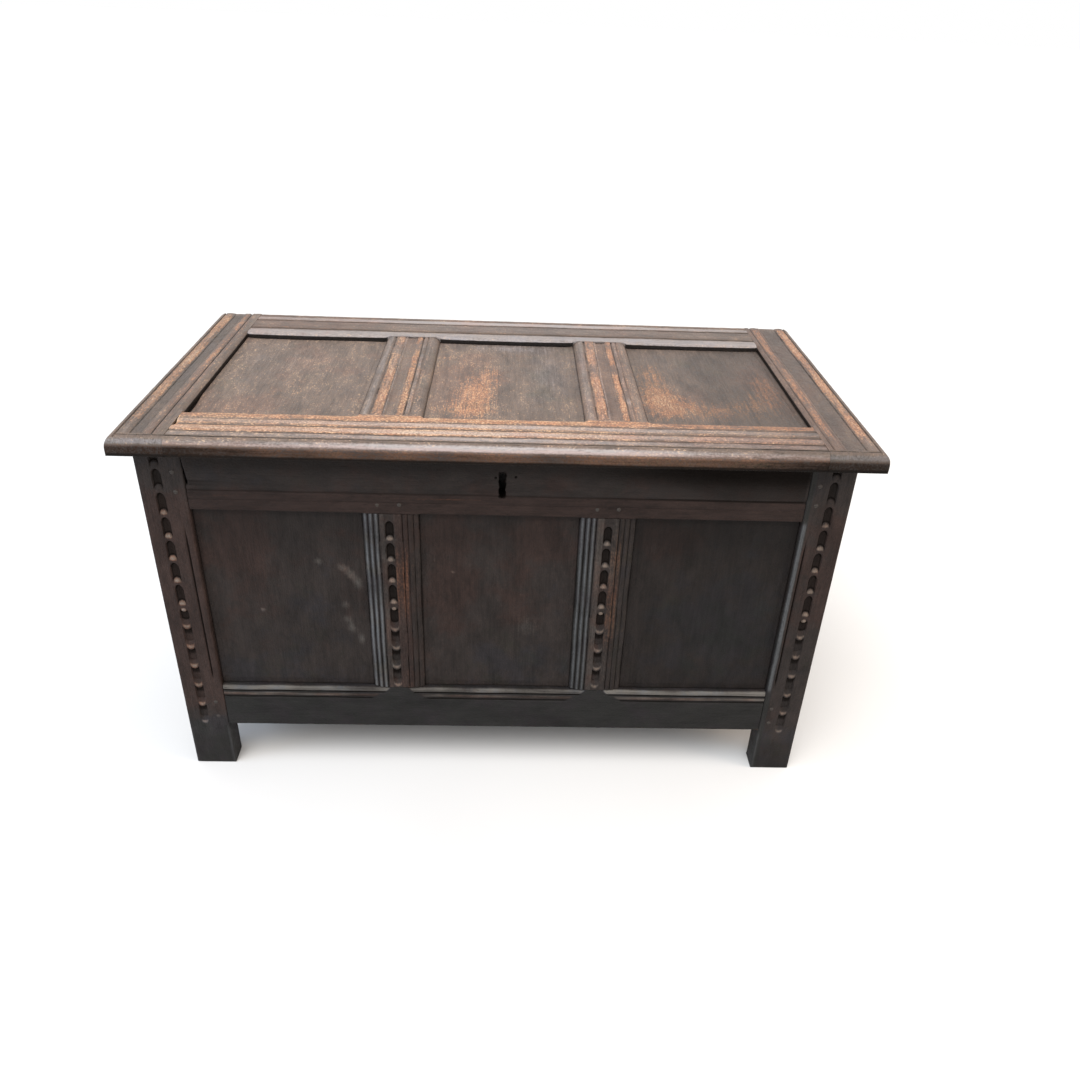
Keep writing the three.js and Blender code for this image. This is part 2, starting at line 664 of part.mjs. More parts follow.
for (const [side, x] of hingePlaces) {
  const hinge = placedFrame(x, hingeAxisY, hingeAxisZ, 0, 0);
  hinge.add(meshOf(`hinge_leaf_${side}`, hingeLeaf(), iron));
  hinge.add(meshOf(`hinge_pin_${side}`, hingePin(), iron));
  hinge.add(meshOf(`hinge_strap_${side}`, hingeStrap(), iron));
  carcase.add(hinge);
}

front.add(meshOf('lock_case', lockCase(), iron));
front.add(meshOf('lock_bolt', lockBolt(), iron));
front.add(meshOf('lock_staple', lockStaple(), iron));

export default coffer;
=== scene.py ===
"""A joined oak coffer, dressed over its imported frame: carved stiles, reeded muntins, a moulded panelled lid.

Sizes in the shape functions are in millimetres: x to the right, y to the back, z up. A board is a function of
two parameters, u along its grain and v across it, whose value is the depth of its face below a plane.
"""
import json
import math

import bmesh
import bpy
import numpy as np
from bpy.props import FloatProperty, FloatVectorProperty, PointerProperty
from mathutils import Matrix, Vector


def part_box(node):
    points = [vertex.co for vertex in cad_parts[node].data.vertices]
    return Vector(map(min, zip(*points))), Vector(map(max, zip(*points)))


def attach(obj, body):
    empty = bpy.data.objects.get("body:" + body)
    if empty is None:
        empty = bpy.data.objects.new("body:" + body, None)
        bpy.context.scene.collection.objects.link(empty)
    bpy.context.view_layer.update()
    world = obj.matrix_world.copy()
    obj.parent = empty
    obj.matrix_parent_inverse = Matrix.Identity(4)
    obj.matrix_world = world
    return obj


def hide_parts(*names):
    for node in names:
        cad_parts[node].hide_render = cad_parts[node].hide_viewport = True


bl_info = {
    "name": "Joined oak coffer",
    "version": (1, 0, 0),
    "blender": (4, 5, 0),
    "location": "3D view, sidebar, Coffer",
    "description": "Moulded, carved and worn oak boards, ironwork and a studio for a panelled coffer",
    "category": "Add Mesh",
}

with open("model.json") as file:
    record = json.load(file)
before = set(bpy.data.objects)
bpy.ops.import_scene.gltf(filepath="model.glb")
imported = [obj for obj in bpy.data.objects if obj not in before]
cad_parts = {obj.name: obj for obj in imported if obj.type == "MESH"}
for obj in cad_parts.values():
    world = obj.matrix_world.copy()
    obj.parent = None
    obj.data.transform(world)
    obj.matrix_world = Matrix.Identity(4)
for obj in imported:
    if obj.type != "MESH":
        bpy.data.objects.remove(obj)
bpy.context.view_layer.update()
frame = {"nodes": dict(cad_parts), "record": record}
MM = 0.001


def length(name, description, default, low, high):
    """A property that holds a length, given here in millimetres."""
    return FloatProperty(name=name, description=description, default=default * MM, min=low * MM,
                         max=high * MM, unit="LENGTH")


class CofferSizes(bpy.types.PropertyGroup):
    """Sizes of the mouldings and the carving."""

    arris: length("Arris", "Radius to which the plain members' corners are worn", 1.5, 0.2, 3)
    groove: length("Groove", "Depth of the scratched grooves of the lid", 2.3, 0.5, 4)
    reed: length("Reed", "Depth between the reeds of the front muntins", 2.4, 0.5, 4)
    scoop: length("Scoop", "Depth of the carved hollows", 4.6, 1, 8)
    scoop_width: length("Scoop width", "Width of the carved hollows", 13.5, 8, 20)
    unevenness: length("Unevenness", "How far hand-planed faces stray from flat", 0.35, 0, 1.5)
    nail: length("Nail head", "Radius of the nail heads of the ironwork", 3.6, 1, 6)


def colour(name, description, default):
    """A property that holds a colour."""
    return FloatVectorProperty(name=name, description=description, subtype="COLOR", default=default,
                               min=0, max=1)


class CofferColours(bpy.types.PropertyGroup):
    """Colours of the oak's finish and of the iron."""

    top_dark: colour("Lid, dark", "Dark mottling of the lid", (0.060, 0.043, 0.035))
    top_mid: colour("Lid, mid", "Brown of the lid", (0.190, 0.134, 0.103))
    top_worn: colour("Lid, worn", "Bare wood on the lid's ridges", (0.44, 0.225, 0.120))
    top_crest: colour("Lid, crest", "Palest wood on the lid's ridges", (0.62, 0.42, 0.26))
    # top_bloom also paints the highlight on the lid's edge moulding and the sheen on its ridges.
    top_bloom: colour("Lid, bloom", "Greyed wax on the lid", (0.37, 0.335, 0.33))
    front_dark: colour("Front, dark", "Dark mottling of the front", (0.0095, 0.0074, 0.0066))
    front_mid: colour("Front, mid", "Brown of the front", (0.0270, 0.0210, 0.0192))
    front_worn: colour("Front, worn", "Rubbed wood on the front's raised parts", (0.085, 0.046, 0.028))
    # front_crest and front_bloom also paint the highlights on the carving's balls and lips, front_bloom those
    # on the reeds and the bottom rail's ridges too.
    front_crest: colour("Front, crest", "Palest wood on the front's raised parts", (0.10, 0.070, 0.054))
    front_bloom: colour("Front, bloom", "Greyed wax on the front", (0.152, 0.141, 0.127))
    plain_dark: colour("Sides, dark", "Dark mottling of the sides, the back and the inside",
                       (0.030, 0.021, 0.015))
    plain_mid: colour("Sides, mid", "Brown of the sides, the back and the inside", (0.085, 0.058, 0.041))
    plain_worn: colour("Sides, worn", "Rubbed wood of the sides and the back", (0.170, 0.105, 0.066))
    plain_crest: colour("Sides, crest", "Palest wood of the sides and the back", (0.24, 0.17, 0.11))
    plain_bloom: colour("Sides, bloom", "Greyed wood of the sides and the back", (0.15, 0.13, 0.11))
    # dirt also paints shade in the hollows, the gaps, the keyhole and under the lid.
    dirt: colour("Dirt", "Wax and dirt in the grooves", (0.0065, 0.0050, 0.0042))
    iron: colour("Iron", "Forged iron", (0.040, 0.037, 0.036))
    rust: colour("Rust", "Brown of the iron where damp has sat", (0.075, 0.035, 0.020))


def number(name, description, default, **more):
    """A property that holds an angle, a power or a plain number."""
    return FloatProperty(name=name, description=description, default=default, **more)


class CofferStudio(bpy.types.PropertyGroup):
    """The camera and the lights of the studio."""

    lens: number("Lens", "Focal length on a 36 mm square sensor", 30.09, min=10, max=100)
    pitch: number("Pitch", "How far the camera looks down", 0.5374, subtype="ANGLE")
    yaw: number("Yaw", "How far the camera is turned to the right", 0.0428, subtype="ANGLE")
    roll: number("Roll", "How far the camera is tilted", 0.0420, subtype="ANGLE")
    place: FloatVectorProperty(name="Place", description="Where the camera stands",
                               default=(0.00715, -1.4292, 1.1639), subtype="XYZ", unit="LENGTH")
    key: number("Key light", "Strength of the broad light from the front and above", 2.4, min=0)
    key_spread: number("Key spread", "How wide the key light is, for soft shadows", 0.7, subtype="ANGLE")
    side_power: number("Side lights", "Power of each tinted side light", 45, min=0, unit="POWER")
    sky: number("Surround", "Brightness of the white surround", 1.0, min=0)


def settings():
    """The sizes, the colours and the studio of the panel."""
    scene = bpy.context.scene
    return scene.coffer_sizes, scene.coffer_colours, scene.coffer_studio


def size(name):
    """A moulding size in millimetres."""
    return getattr(bpy.context.scene.coffer_sizes, name) / MM


# Shape functions

def bell(t):
    """A groove's section: the square of a cosine between -1 and 1, and zero outside."""
    return np.where(np.abs(t) < 1, np.cos(np.pi * np.clip(t, -1, 1) / 2) ** 2, 0.0)


def hump(value, centre, half):
    """A bell curve: e to the minus square of the distance from its centre, in half lengths."""
    return np.exp(-((value - centre) / half) ** 2)


def dome(t):
    """A ridge's section: a half circle of height 1 between -1 and 1, and zero outside."""
    return np.sqrt(np.clip(1 - t * t, 0, 1))


def step(t):
    """Goes smoothly from 0 to 1 while t does: 3t squared less 2t cubed."""
    t = np.clip(t, 0, 1)
    return t * t * (3 - 2 * t)


def between(value, low, high, soft):
    """1 from low to high and 0 outside, going over smoothly within soft."""
    return step((value - low) / soft + 0.5) * step((high - value) / soft + 0.5)


def bands(value, *rows):
    """A sum of bands, each given by its strength, low, high and soft."""
    return sum(strength * between(value, low, high, soft) for strength, low, high, soft in rows)


def grooves(value, *rows):
    """A sum of grooves, each given by its depth, centre and half width."""
    return sum(depth * bell((value - centre) / half) for depth, centre, half in rows)


def drift(u, v, length, seed):
    """Unevenness within about 1 of zero: a sum of seven sines with seeded directions, lengths and phases."""
    rng = np.random.default_rng(seed)
    total = np.zeros(np.broadcast(u, v).shape)
    for angle, phase, stretch in rng.uniform((0, 0, 0.6), (2 * np.pi, 2 * np.pi, 1.7), (7, 3)):
        wave = 2 * np.pi / (length * stretch)
        total += np.sin(wave * (u * math.cos(angle) + v * math.sin(angle)) + phase)
    return total / 4


def along(u, length, seed):
    """Unevenness that only changes along the grain."""
    return drift(u, 0 * u, length, seed)


def rounded(distance, radius):
    """Depth of a quarter round at a distance from an edge: the radius at the edge, zero a radius away."""
    t = np.clip(1 - distance / radius, 0, 1)
    return radius * (1 - np.sqrt(1 - t * t))


def ridges(value, *rows):
    """Depths of low crowned ridges, added up. Each is given by its low, its high and its crown: it is zero on
    its crest, the crown at its edges, and zero outside."""
    total = 0
    for low, high, crown in rows:
        across = (value - (low + high) / 2) / ((high - low) / 2)
        total = total + np.where(np.abs(across) < 1, crown * (1 - dome(across)), 0)
    return total


CLOSEST = 0.06
ARRIS_SHARES = (0, 0.08, 0.3, 0.62, 1)


def lines(low, high, pitch, fine=(), arris=1.3):
    """Grid lines from low to high: a pitch apart, closer in the stretches of fine, and close to both ends."""
    found = [np.linspace(low, high, max(2, round((high - low) / pitch) + 1))]
    for start, end, spacing in fine:
        start, end = max(low, start), min(high, end)
        found = [a[(a < start) | (a > end)] for a in found]
        found.append(np.linspace(start, end, max(2, round((end - start) / spacing) + 1)))
    near = arris * np.array(ARRIS_SHARES)
    every = np.unique(np.concatenate(found + [low + near, high - near]))
    keep = np.concatenate([[True], np.diff(every) > CLOSEST])
    keep[-1] = True
    return every[keep]


# Boards

X, Y, Z = range(3)


class Place:
    """Where a board's u, v and depth lie: the axes of all three, and the depth's sign and start."""

    def __init__(self, along_axis, across_axis, inward_axis, sign, level):
        self.axes = (along_axis, across_axis, inward_axis)
        self.sign, self.level = sign, level

    def points(self, u, v, w):
        points = np.empty((u.size, 3))
        for axis, values in zip(self.axes, (u, v, self.level + self.sign * w)):
            points[:, axis] = values
        return points

    def turned(self):
        """Whether u, v and the depth make a left-handed set, which turns every face round."""
        basis = np.zeros((3, 3))
        for row, (axis, sign) in enumerate(zip(self.axes, (1, 1, self.sign))):
            basis[row, axis] = sign
        return np.linalg.det(basis) < 0


def loop_round(block):
    """The numbers round the border of a block of grid points, in order."""
    return np.concatenate([block[0, :-1], block[:-1, -1], block[-1, :0:-1], block[:0:-1, 0]])


def squares(block):
    """The four corners of each square between grid points."""
    return np.stack([block[:-1, :-1], block[:-1, 1:], block[1:, 1:], block[1:, :-1]], axis=-1)


def strip(upper, lower):
    """The squares between two closed loops of points."""
    return np.stack([np.roll(upper, -1), upper, lower, np.roll(lower, -1)], axis=-1)


def bare_height(face, u, v, depth, radius, proud):
    """How far a face stands above its surroundings: the mean depth on a circle round each point, less its
    own. The face goes on level past its sides. Near the sides named in proud nothing counts as sunk."""
    total = np.zeros(u.shape)
    limits = (u.min(), u.max(), v.min(), v.max())
    for turn in np.arange(8) * math.pi / 4:
        at_u, at_v = u + radius * math.cos(turn), v + radius * math.sin(turn)
        total += face(np.clip(at_u, *limits[:2]), np.clip(at_v, *limits[2:]))
    height = total / 8 - depth
    near = np.zeros(u.shape, bool)
    for side, distance in zip("WESN", (u - limits[0], limits[1] - u, v - limits[2], limits[3] - v)):
        if side in proud:
            near |= distance < radius
    return np.where(near, np.maximum(height, 0), height)


def key_slot(at_u, at_v, loop, hole):
    """Moves the squared border of a hole to a ragged slot with round ends: its half width is that of a slot
    times a sum of sines along it."""
    centre_u, centre_v, half_u, half_v = hole
    u, v = at_u[loop] - centre_u, at_v[loop] - centre_v
    straight = half_v - half_u
    over = np.clip((np.abs(v) - straight) / half_u, 0, 1)
    on_side = np.abs(u) >= half_u * 0.99
    ragged = 1 + 0.13 * np.sin(0.42 * v + 0.9 * np.sign(u)) + 0.07 * np.sin(0.97 * v - 1.3 * np.sign(u))
    new_u = np.where(on_side, u * (dome(over) * 0.98 + 0.02), u) * ragged
    new_v = np.where(on_side, v, np.sign(v) * (straight + half_u * dome(u / half_u)))
    return centre_u + new_u, centre_v + new_v


SIDE_SHARES = (0.12, 0.3, 0.5, 0.7, 0.88, 0.985)
RELIEF_RADII = {"relief": 2.4, "crest": 8.0}
# The marks: rub lays wood bare, pale is old wax and painted highlight and sheen, the third is dirt and painted
# shade, and warm tints the colour.
MARKS = ("rub", "pale", "soot", "warm")
# How dark a hole's far end is painted, as shade.
HOLE_SHADE = 3.0
GRAIN_SPREAD = 4000


def board(name, place, u, v, face, thickness, back=None, exposed="", proud=None, tuck=1.2, curl=6.0,
          hole=None, seed=0, tone=0.0, behind=None, marks=None, under=0.0, warp=None):
    """A closed board. Its face is the surface depth = face(u, v) on the grid of u and v. Bands round its rim
    go down to the back, which is flat, or the surface depth = back(u, v). The sides named in exposed, of W E
    S N for low u, high u, low v and high v, are drawn in towards the back by the tuck times a power of the
    way down. hole is the centre and the half sizes of a slot right through, whose walls are painted black as
    shade. marks(u, v) gives surfaces by name: how far the face is rubbed bare, how pale it is with old wax and
    with painted highlight and sheen, how dark with dirt and with painted shade, and how warm in colour it is,
    in calm how much its own relief counts, and in tone how much lighter it is than the rest, painted light and
    shade among it. tone is how much lighter the whole board is, behind the same for its back, and under how
    much painted shade the sides get towards the back. warp moves points in the plane of the face."""
    grid_u, grid_v = np.meshgrid(u, v, indexing="ij")
    index = np.arange(grid_u.size).reshape(grid_u.shape)
    depth = face(grid_u, grid_v)
    rim = loop_round(index)
    rim_u, rim_v, rim_w = (a.ravel()[rim] for a in (grid_u, grid_v, depth))

    def drawn_in(at, ends, sides):
        return (at <= ends[0]) * 1.0 * (sides[0] in exposed) - (at >= ends[-1]) * (sides[1] in exposed)

    def side(share):
        inset = tuck * share ** curl
        return (rim_u + inset * drawn_in(rim_u, u, "WE"), rim_v + inset * drawn_in(rim_v, v, "SN"),
                rim_w + (thickness - rim_w) * share)

    layers = [(grid_u.ravel(), grid_v.ravel(), depth.ravel())] + [side(share) for share in SIDE_SHARES]
    flat_back = back is None and hole is None
    if flat_back:
        layers.append(side(1.0))
    else:
        back_depth = back(grid_u, grid_v) if back else np.full(grid_u.shape, float(thickness))
        layers.append((grid_u.ravel(), grid_v.ravel(), back_depth.ravel()))
    starts = np.cumsum([0] + [len(layer[0]) for layer in layers])
    at_u, at_v, at_w = (np.concatenate(parts) for parts in zip(*layers))
    loops = [rim] + [start + np.arange(rim.size) for start in starts[1:len(SIDE_SHARES) + 1]]
    back_index = starts[-2] + index
    loops.append(starts[-2] + (np.arange(rim.size) if flat_back else rim))
    shown = np.ones((len(u) - 1, len(v) - 1), bool)
    faces = []
    if hole:
        inside = [np.abs((a[:-1] + a[1:]) / 2 - hole[k]) < hole[k + 2] for k, a in enumerate((u, v))]
        shown = ~(inside[0][:, None] & inside[1])
        rows, columns = (slice(*(np.flatnonzero(cells)[[0, -1]] + [0, 2])) for cells in inside)
        near = loop_round(index[rows, columns])
        far = starts[-2] + near
        for loop in (near, far):
            at_u[loop], at_v[loop] = key_slot(at_u, at_v, loop, hole)
        faces.append(strip(far, near))
    faces.append(squares(index)[shown])
    faces += [strip(upper, lower) for upper, lower in zip(loops[:-1], loops[1:])]
    if not flat_back:
        faces.append(squares(back_index)[shown][:, ::-1])
    way = 1 if place.turned() else -1
    polygons = np.concatenate([f.reshape(-1, 4) for f in faces])[:, ::way].tolist()
    if flat_back:
        polygons.append(loops[-1][::-way].tolist())

    found = marks(grid_u, grid_v) if marks else {}
    proud = exposed if proud is None else proud
    values = {key: bare_height(face, grid_u, grid_v, depth, radius, proud) * found.get("calm", 1.0)
              for key, radius in RELIEF_RADII.items()}
    values.update({key: found.get(key, 0.0) + 0 * grid_u for key in MARKS + ("tone",)})
    values["tone"] += tone
    at_back = {"rub": -0.5, "tone": tone if behind is None else behind}
    attributes = {}
    for key, on_face in values.items():
        every = np.full(at_u.size, at_back.get(key, 0.0))
        every[:index.size] = on_face.ravel()
        for loop, share in zip(loops[1:], SIDE_SHARES):
            kept = 1.0 if key == "tone" else 1 - share ** 3
            every[loop] = on_face.ravel()[rim] * kept + (under * share ** 2) * (key == "soot")
        # A hole's walls are painted black, as shade.
        if hole and key == "soot":
            every[back_index] = on_face
            every[far] = HOLE_SHADE
        attributes[key] = every
    offset = np.random.default_rng(seed).uniform(0, GRAIN_SPREAD, 3)
    attributes["grain"] = np.stack([at_u, at_v, at_w], axis=-1) + offset
    if warp:
        at_u, at_v = warp(at_u, at_v)
    return piece(name, place.points(at_u, at_v, at_w) * MM, polygons, attributes)


def piece(name, points, polygons, attributes):
    """Puts points, polygons and values at the points into a new object."""
    mesh = bpy.data.meshes.new(name)
    mesh.from_pydata(points.tolist(), [], polygons)
    for key, values in attributes.items():
        vector = values.ndim == 2
        layer = mesh.attributes.new(key, "FLOAT_VECTOR" if vector else "FLOAT", "POINT")
        layer.data.foreach_set("vector" if vector else "value", values.astype(np.float32).ravel())
    mesh.shade_smooth()
    mesh.set_sharp_from_angle(angle=math.radians(50))
    made = bpy.data.objects.new(name, mesh)
    bpy.context.scene.collection.objects.link(made)
    return made


def dress(made, finish, body, node=None):
    """Gives a piece its finish and its body, and lets it stand for a CAD node."""
    made.data.materials.append(finishes()[finish])
    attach(made, body)
    if node:
        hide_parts(node)


def span(node):
    """Lowest and highest corner of a CAD node, in millimetres."""
    low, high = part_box(node)
    return np.array(low) / MM, np.array(high) / MM


def spacing():
    """How many times wider the grids are while trying things."""
    return 1.0


def bays_of(members, axis, ends):
    """The bays between members, as pairs of low and high along the axis."""
    edges = [ends[0]]
    for low, high in sorted((span(n) for n in members), key=lambda box: box[0][axis]):
        edges += [low[axis], high[axis]]
    edges.append(ends[1])
    return list(zip(edges[::2], edges[1::2]))


def in_bays(value, bays, soft):
    """1 in the bays and 0 at the members between them."""
    return np.max([between(value, low, high, soft) for low, high in bays], axis=0)


# Materials

class Tree:
    """A material's nodes, added and linked one at a time."""

    def __init__(self, name):
        self.material = bpy.data.materials.new(name)
        self.material.use_nodes = True
        self.tree = self.material.node_tree
        self.tree.nodes.clear()

    def add(self, kind, inputs=None, **values):
        node = self.tree.nodes.new(kind)
        for key, value in values.items():
            setattr(node, key, value)
        for key, value in (inputs or {}).items():
            if isinstance(value, bpy.types.NodeSocket):
                self.tree.links.new(value, node.inputs[key])
            else:
                node.inputs[key].default_value = value
        return node

    def attribute(self, name):
        output = "Vector" if name == "grain" else "Fac"
        return self.add("ShaderNodeAttribute", attribute_name=name).outputs[output]

    def noise(self, vector, lengths, detail=3.0, roughness=0.55, distortion=0.0):
        """Noise centred on zero whose lumps have the given lengths along the vector's three axes."""
        scale = tuple(1 / length for length in lengths)
        stretched = self.add("ShaderNodeMapping", {"Vector": vector, "Scale": scale}).outputs["Vector"]
        lumps = self.add("ShaderNodeTexNoise", {"Vector": stretched, "Scale": 1.0, "Detail": detail,
                                                "Roughness": roughness, "Distortion": distortion})
        return self.sum("SUBTRACT", lumps.outputs["Fac"], 0.5)

    def band(self, value, low, high, start=0.0, end=1.0):
        """Maps low..high to start..end, smoothly and clamped."""
        return self.add("ShaderNodeMapRange", {"Value": value, "From Min": low, "From Max": high,
                                               "To Min": start, "To Max": end},
                        interpolation_type="SMOOTHSTEP").outputs["Result"]

    def sum(self, kind, a, b):
        return self.add("ShaderNodeMath", {0: a, 1: b}, operation=kind).outputs[0]

    def blend(self, *weighted):
        """The sum of values, each times its weight."""
        total = self.sum("MULTIPLY", *weighted[0])
        for value, weight in weighted[1:]:
            total = self.sum("ADD", total, self.sum("MULTIPLY", value, weight))
        return total

    def mix(self, factor, a, b, blend="MIX"):
        node = self.add("ShaderNodeMix", data_type="RGBA", blend_type=blend)
        for socket, value in ((node.inputs[0], factor), (node.inputs[6], a), (node.inputs[7], b)):
            if isinstance(value, bpy.types.NodeSocket):
                self.tree.links.new(value, socket)
            else:
                socket.default_value = (*value, 1) if isinstance(value, tuple) else value
        return node.outputs[2]

    def cracks(self, vector, length, width):
        """1 on the borders between cells of the given length, and 0 a width away from them."""
        cells = self.add("ShaderNodeTexVoronoi", {"Vector": vector, "Scale": 1 / length},
                         feature="DISTANCE_TO_EDGE").outputs["Distance"]
        return self.band(cells, 0.0, width, 1.0, 0.0)

    def finish(self, base, roughness, height=None, distance=0.0, **constants):
        if height is not None:
            bump = self.add("ShaderNodeBump", {"Height": height, "Distance": distance, "Strength": 1.0})
            constants["Normal"] = bump.outputs["Normal"]
        constants.update({"Base Color": base, "Roughness": roughness})
        shader = self.add("ShaderNodeBsdfPrincipled", constants)
        self.add("ShaderNodeOutputMaterial", {"Surface": shader.outputs["BSDF"]})
        return self.material


RED, GREEN, BLUE = (1.2, 0.94, 0.87), (0.90, 1.02, 0.90), (0.87, 0.98, 1.16)


def oak(name, colours, wear, relief, noise, speckle, hue, gloss, specular, crackle=0.0):
    """Old waxed oak. Blotches, mottling and fibres run along the board's own grain. Where the face stands
    proud or is marked as rubbed it goes to bare wood, and in its hollows or where marked dark to the dirt
    colour, which here stands for both dirt and painted shade. Greyed wax lies where it is marked as pale, and
    the same colour paints highlights and sheen. The tone mark makes it lighter or darker, painted light and
    shade among it. Noise breaks the borders up. Red, green and blue clouds follow the whole object. wear is
    how much it takes to lay the wood bare, relief how much the shape counts in it, and noise how much the
    mottling, the specks and the streaks do."""
    t = Tree(name)
    dark, mid, worn, crest_colour, bloom, dirt = colours
    grain = t.attribute("grain")
    relieved, crest, rub, pale, soot, warm = (t.attribute(key) for key in ("relief", "crest") + MARKS)
    place = t.add("ShaderNodeTexCoord").outputs["Object"]
    blotch = t.noise(grain, (70, 30, 30), 4.0, 0.6, 0.5)
    mottle = t.noise(grain, (15, 7, 7), 5.0, 0.7, 0.4)
    speck = t.noise(grain, (3.6, 2.3, 2.3), 2.0, 0.5)
    fibre = t.noise(grain, (45, 1.0, 1.0), 3.0, 0.6)
    streak = t.noise(grain, (80, 2.6, 2.6), 4.0, 0.65, 0.3)
    pore = t.noise(grain, (11, 0.5, 0.5), 2.0)
    hues = []
    for shift in (0.0, 3.1, 5.9):
        moved = t.add("ShaderNodeMapping", {"Vector": place, "Location": (shift, 2 * shift, 0.7)})
        hues.append(t.noise(moved.outputs["Vector"], (0.05, 0.05, 0.05), 5.0, 0.65))
    broken = t.blend(*zip((mottle, speck, streak), noise))

    ground = t.blend((mottle, 0.6), (blotch, 0.8), (streak, 0.5), (speck, 0.3))
    base = t.mix(t.band(ground, -0.42, 0.32), dark, mid)
    red = t.band(t.blend((hues[0], 1.0), (warm, 0.22)), 0.0, 0.26, 0, hue)
    green = t.band(t.blend((hues[1], 1.0), (warm, -0.1)), 0.04, 0.26, 0, hue)
    blue = t.band(t.blend((hues[2], 1.0), (warm, -0.2)), 0.03, 0.26, 0, hue)
    for share, tint in ((red, RED), (green, GREEN), (blue, BLUE)):
        base = t.mix(share, base, tint, "MULTIPLY")

    raised = t.blend((relieved, relief), (crest, 0.6 * relief), (rub, 1.0), (broken, 1.0))
    bare = t.band(raised, wear - 0.38, wear + 0.38, 0, 0.92)
    bare_wood = t.mix(t.band(t.blend((speck, 1.0), (hues[1], 0.8), (mottle, 0.8)), -0.2, 0.2),
                      tuple(0.62 * value for value in worn), worn)
    base = t.mix(bare, base, t.mix(red, bare_wood, RED, "MULTIPLY"))
    base = t.mix(t.band(t.blend((raised, 1.0), (speck, 2.2)), wear + 0.45, wear + 1.25, 0, 0.85), base,
                 crest_colour)
    # The bloom colour, which also paints highlights and sheen.
    bloom_and_highlight = t.mix(blue, t.mix(red, bloom, RED, "MULTIPLY"), BLUE, "MULTIPLY")
    base = t.mix(t.band(t.blend((pale, 1.0), (broken, 0.4)), 0.15, 1.1, 0, 0.85), base, bloom_and_highlight)
    tone = t.attribute("tone")
    spots_here = t.blend((speck, 1.0), (mottle, 0.55), (blotch, 0.4), (rub, 0.05), (tone, 0.2))
    base = t.mix(t.band(spots_here, 0.13, 0.22, 0, speckle), base, crest_colour)
    if crackle:
        net = t.sum("MULTIPLY", t.cracks(grain, 5.0, 0.13), t.sum("MULTIPLY", bare, crackle))
        base = t.mix(net, base, dirt)
    # Hollows and the dark mark go to the dirt colour: dirt and painted shade.
    sunk = t.blend((relieved, -0.5), (soot, 1.0), (broken, 0.3))
    base = t.mix(t.band(sunk, 0.15, 1.0, 0, 0.95), base, dirt)
    base = t.mix(t.band(pore, 0.14, 0.26, 0, 0.35), base, dirt)
    # tone lightens or darkens the colour, painted light and shade among it.
    shade = t.sum("ADD", 1.0, tone)
    base = t.add("ShaderNodeHueSaturation", {"Color": base, "Value": shade}).outputs["Color"]

    uneven = t.blend((fibre, 0.5), (mottle, 0.8), (speck, 0.5))
    roughness = t.band(uneven, -0.25, 0.3, gloss - 0.1, gloss + 0.16)
    height = t.blend((fibre, 0.5), (speck, 0.9), (mottle, 1.1), (t.band(pore, 0.1, 0.25), -0.4))
    shine = t.band(sunk, 0.3, 1.0, specular, 0.15 * specular)
    return t.finish(base, roughness, height, 0.0009, **{"Specular IOR Level": shine})


def forged_iron(name, iron, rust):
    """Dark forged iron: hammered all over, brown where damp has sat."""
    t = Tree(name)
    place = t.add("ShaderNodeTexCoord").outputs["Object"]
    hammer = t.add("ShaderNodeTexVoronoi", {"Vector": place, "Scale": 150.0, "Smoothness": 0.8},
                   feature="SMOOTH_F1").outputs["Distance"]
    cloud = t.noise(place, (0.026, 0.026, 0.026), 6.0, 0.7)
    grit = t.noise(place, (0.0015, 0.0015, 0.0015), 3.0)
    damp = t.band(t.blend((cloud, 1.0), (grit, 0.25)), 0.0, 0.2)
    return t.finish(t.mix(damp, iron, rust), t.band(cloud, -0.2, 0.2, 0.42, 0.7),
                    t.blend((hammer, 0.8), (grit, 0.25)), 0.0007, Metallic=0.75)


FINISHES = {}


def finishes():
    """The finishes, made once from the colours of the panel."""
    if not FINISHES:
        colours = bpy.context.scene.coffer_colours
        c = {key: tuple(getattr(colours, key)) for key in CofferColours.__annotations__}
        kinds = ("dark", "mid", "worn", "crest", "bloom")
        top, front, plain = ([c[f"{part}_{kind}"] for kind in kinds] + [c["dirt"]]
                             for part in ("top", "front", "plain"))
        FINISHES["top"] = oak("top_oak_worn", top, 0.9, 0.3, (1.4, 1.6, 1.8), 0.45, 0.45, 0.46, 0.45, 0.4)
        FINISHES["front"] = oak("front_oak_dark", front, 1.0, 0.12, (0.5, 0.5, 0.7), 0.05, 0.95, 0.55, 0.12)
        FINISHES["plain"] = oak("plain_oak_dry", plain, 1.3, 0.2, (1.6, 1.2, 1.6), 0.15, 0.5, 0.62, 0.2)
        FINISHES["iron"] = forged_iron("forged_iron", c["iron"], c["rust"])
    return FINISHES


# Faces of the members

def from_sides(u, v, u_ends, v_ends):
    """How far a point lies from the nearest side of a face."""
    return np.minimum(np.minimum(u - u_ends[0], u_ends[1] - u), np.minimum(v - v_ends[0], v_ends[1] - v))


def flat_face(u_ends, v_ends, seed, radius):
    """A hand-planed face with worn arrises all round."""
    def face(u, v):
        wave = size("unevenness") * (0.6 + 0.6 * drift(u, v, 150, seed) + 0.25 * drift(u, v, 35, seed + 1))
        return rounded(np.maximum(from_sides(u, v, u_ends, v_ends), 0), radius) + np.maximum(wave, 0)
    return face


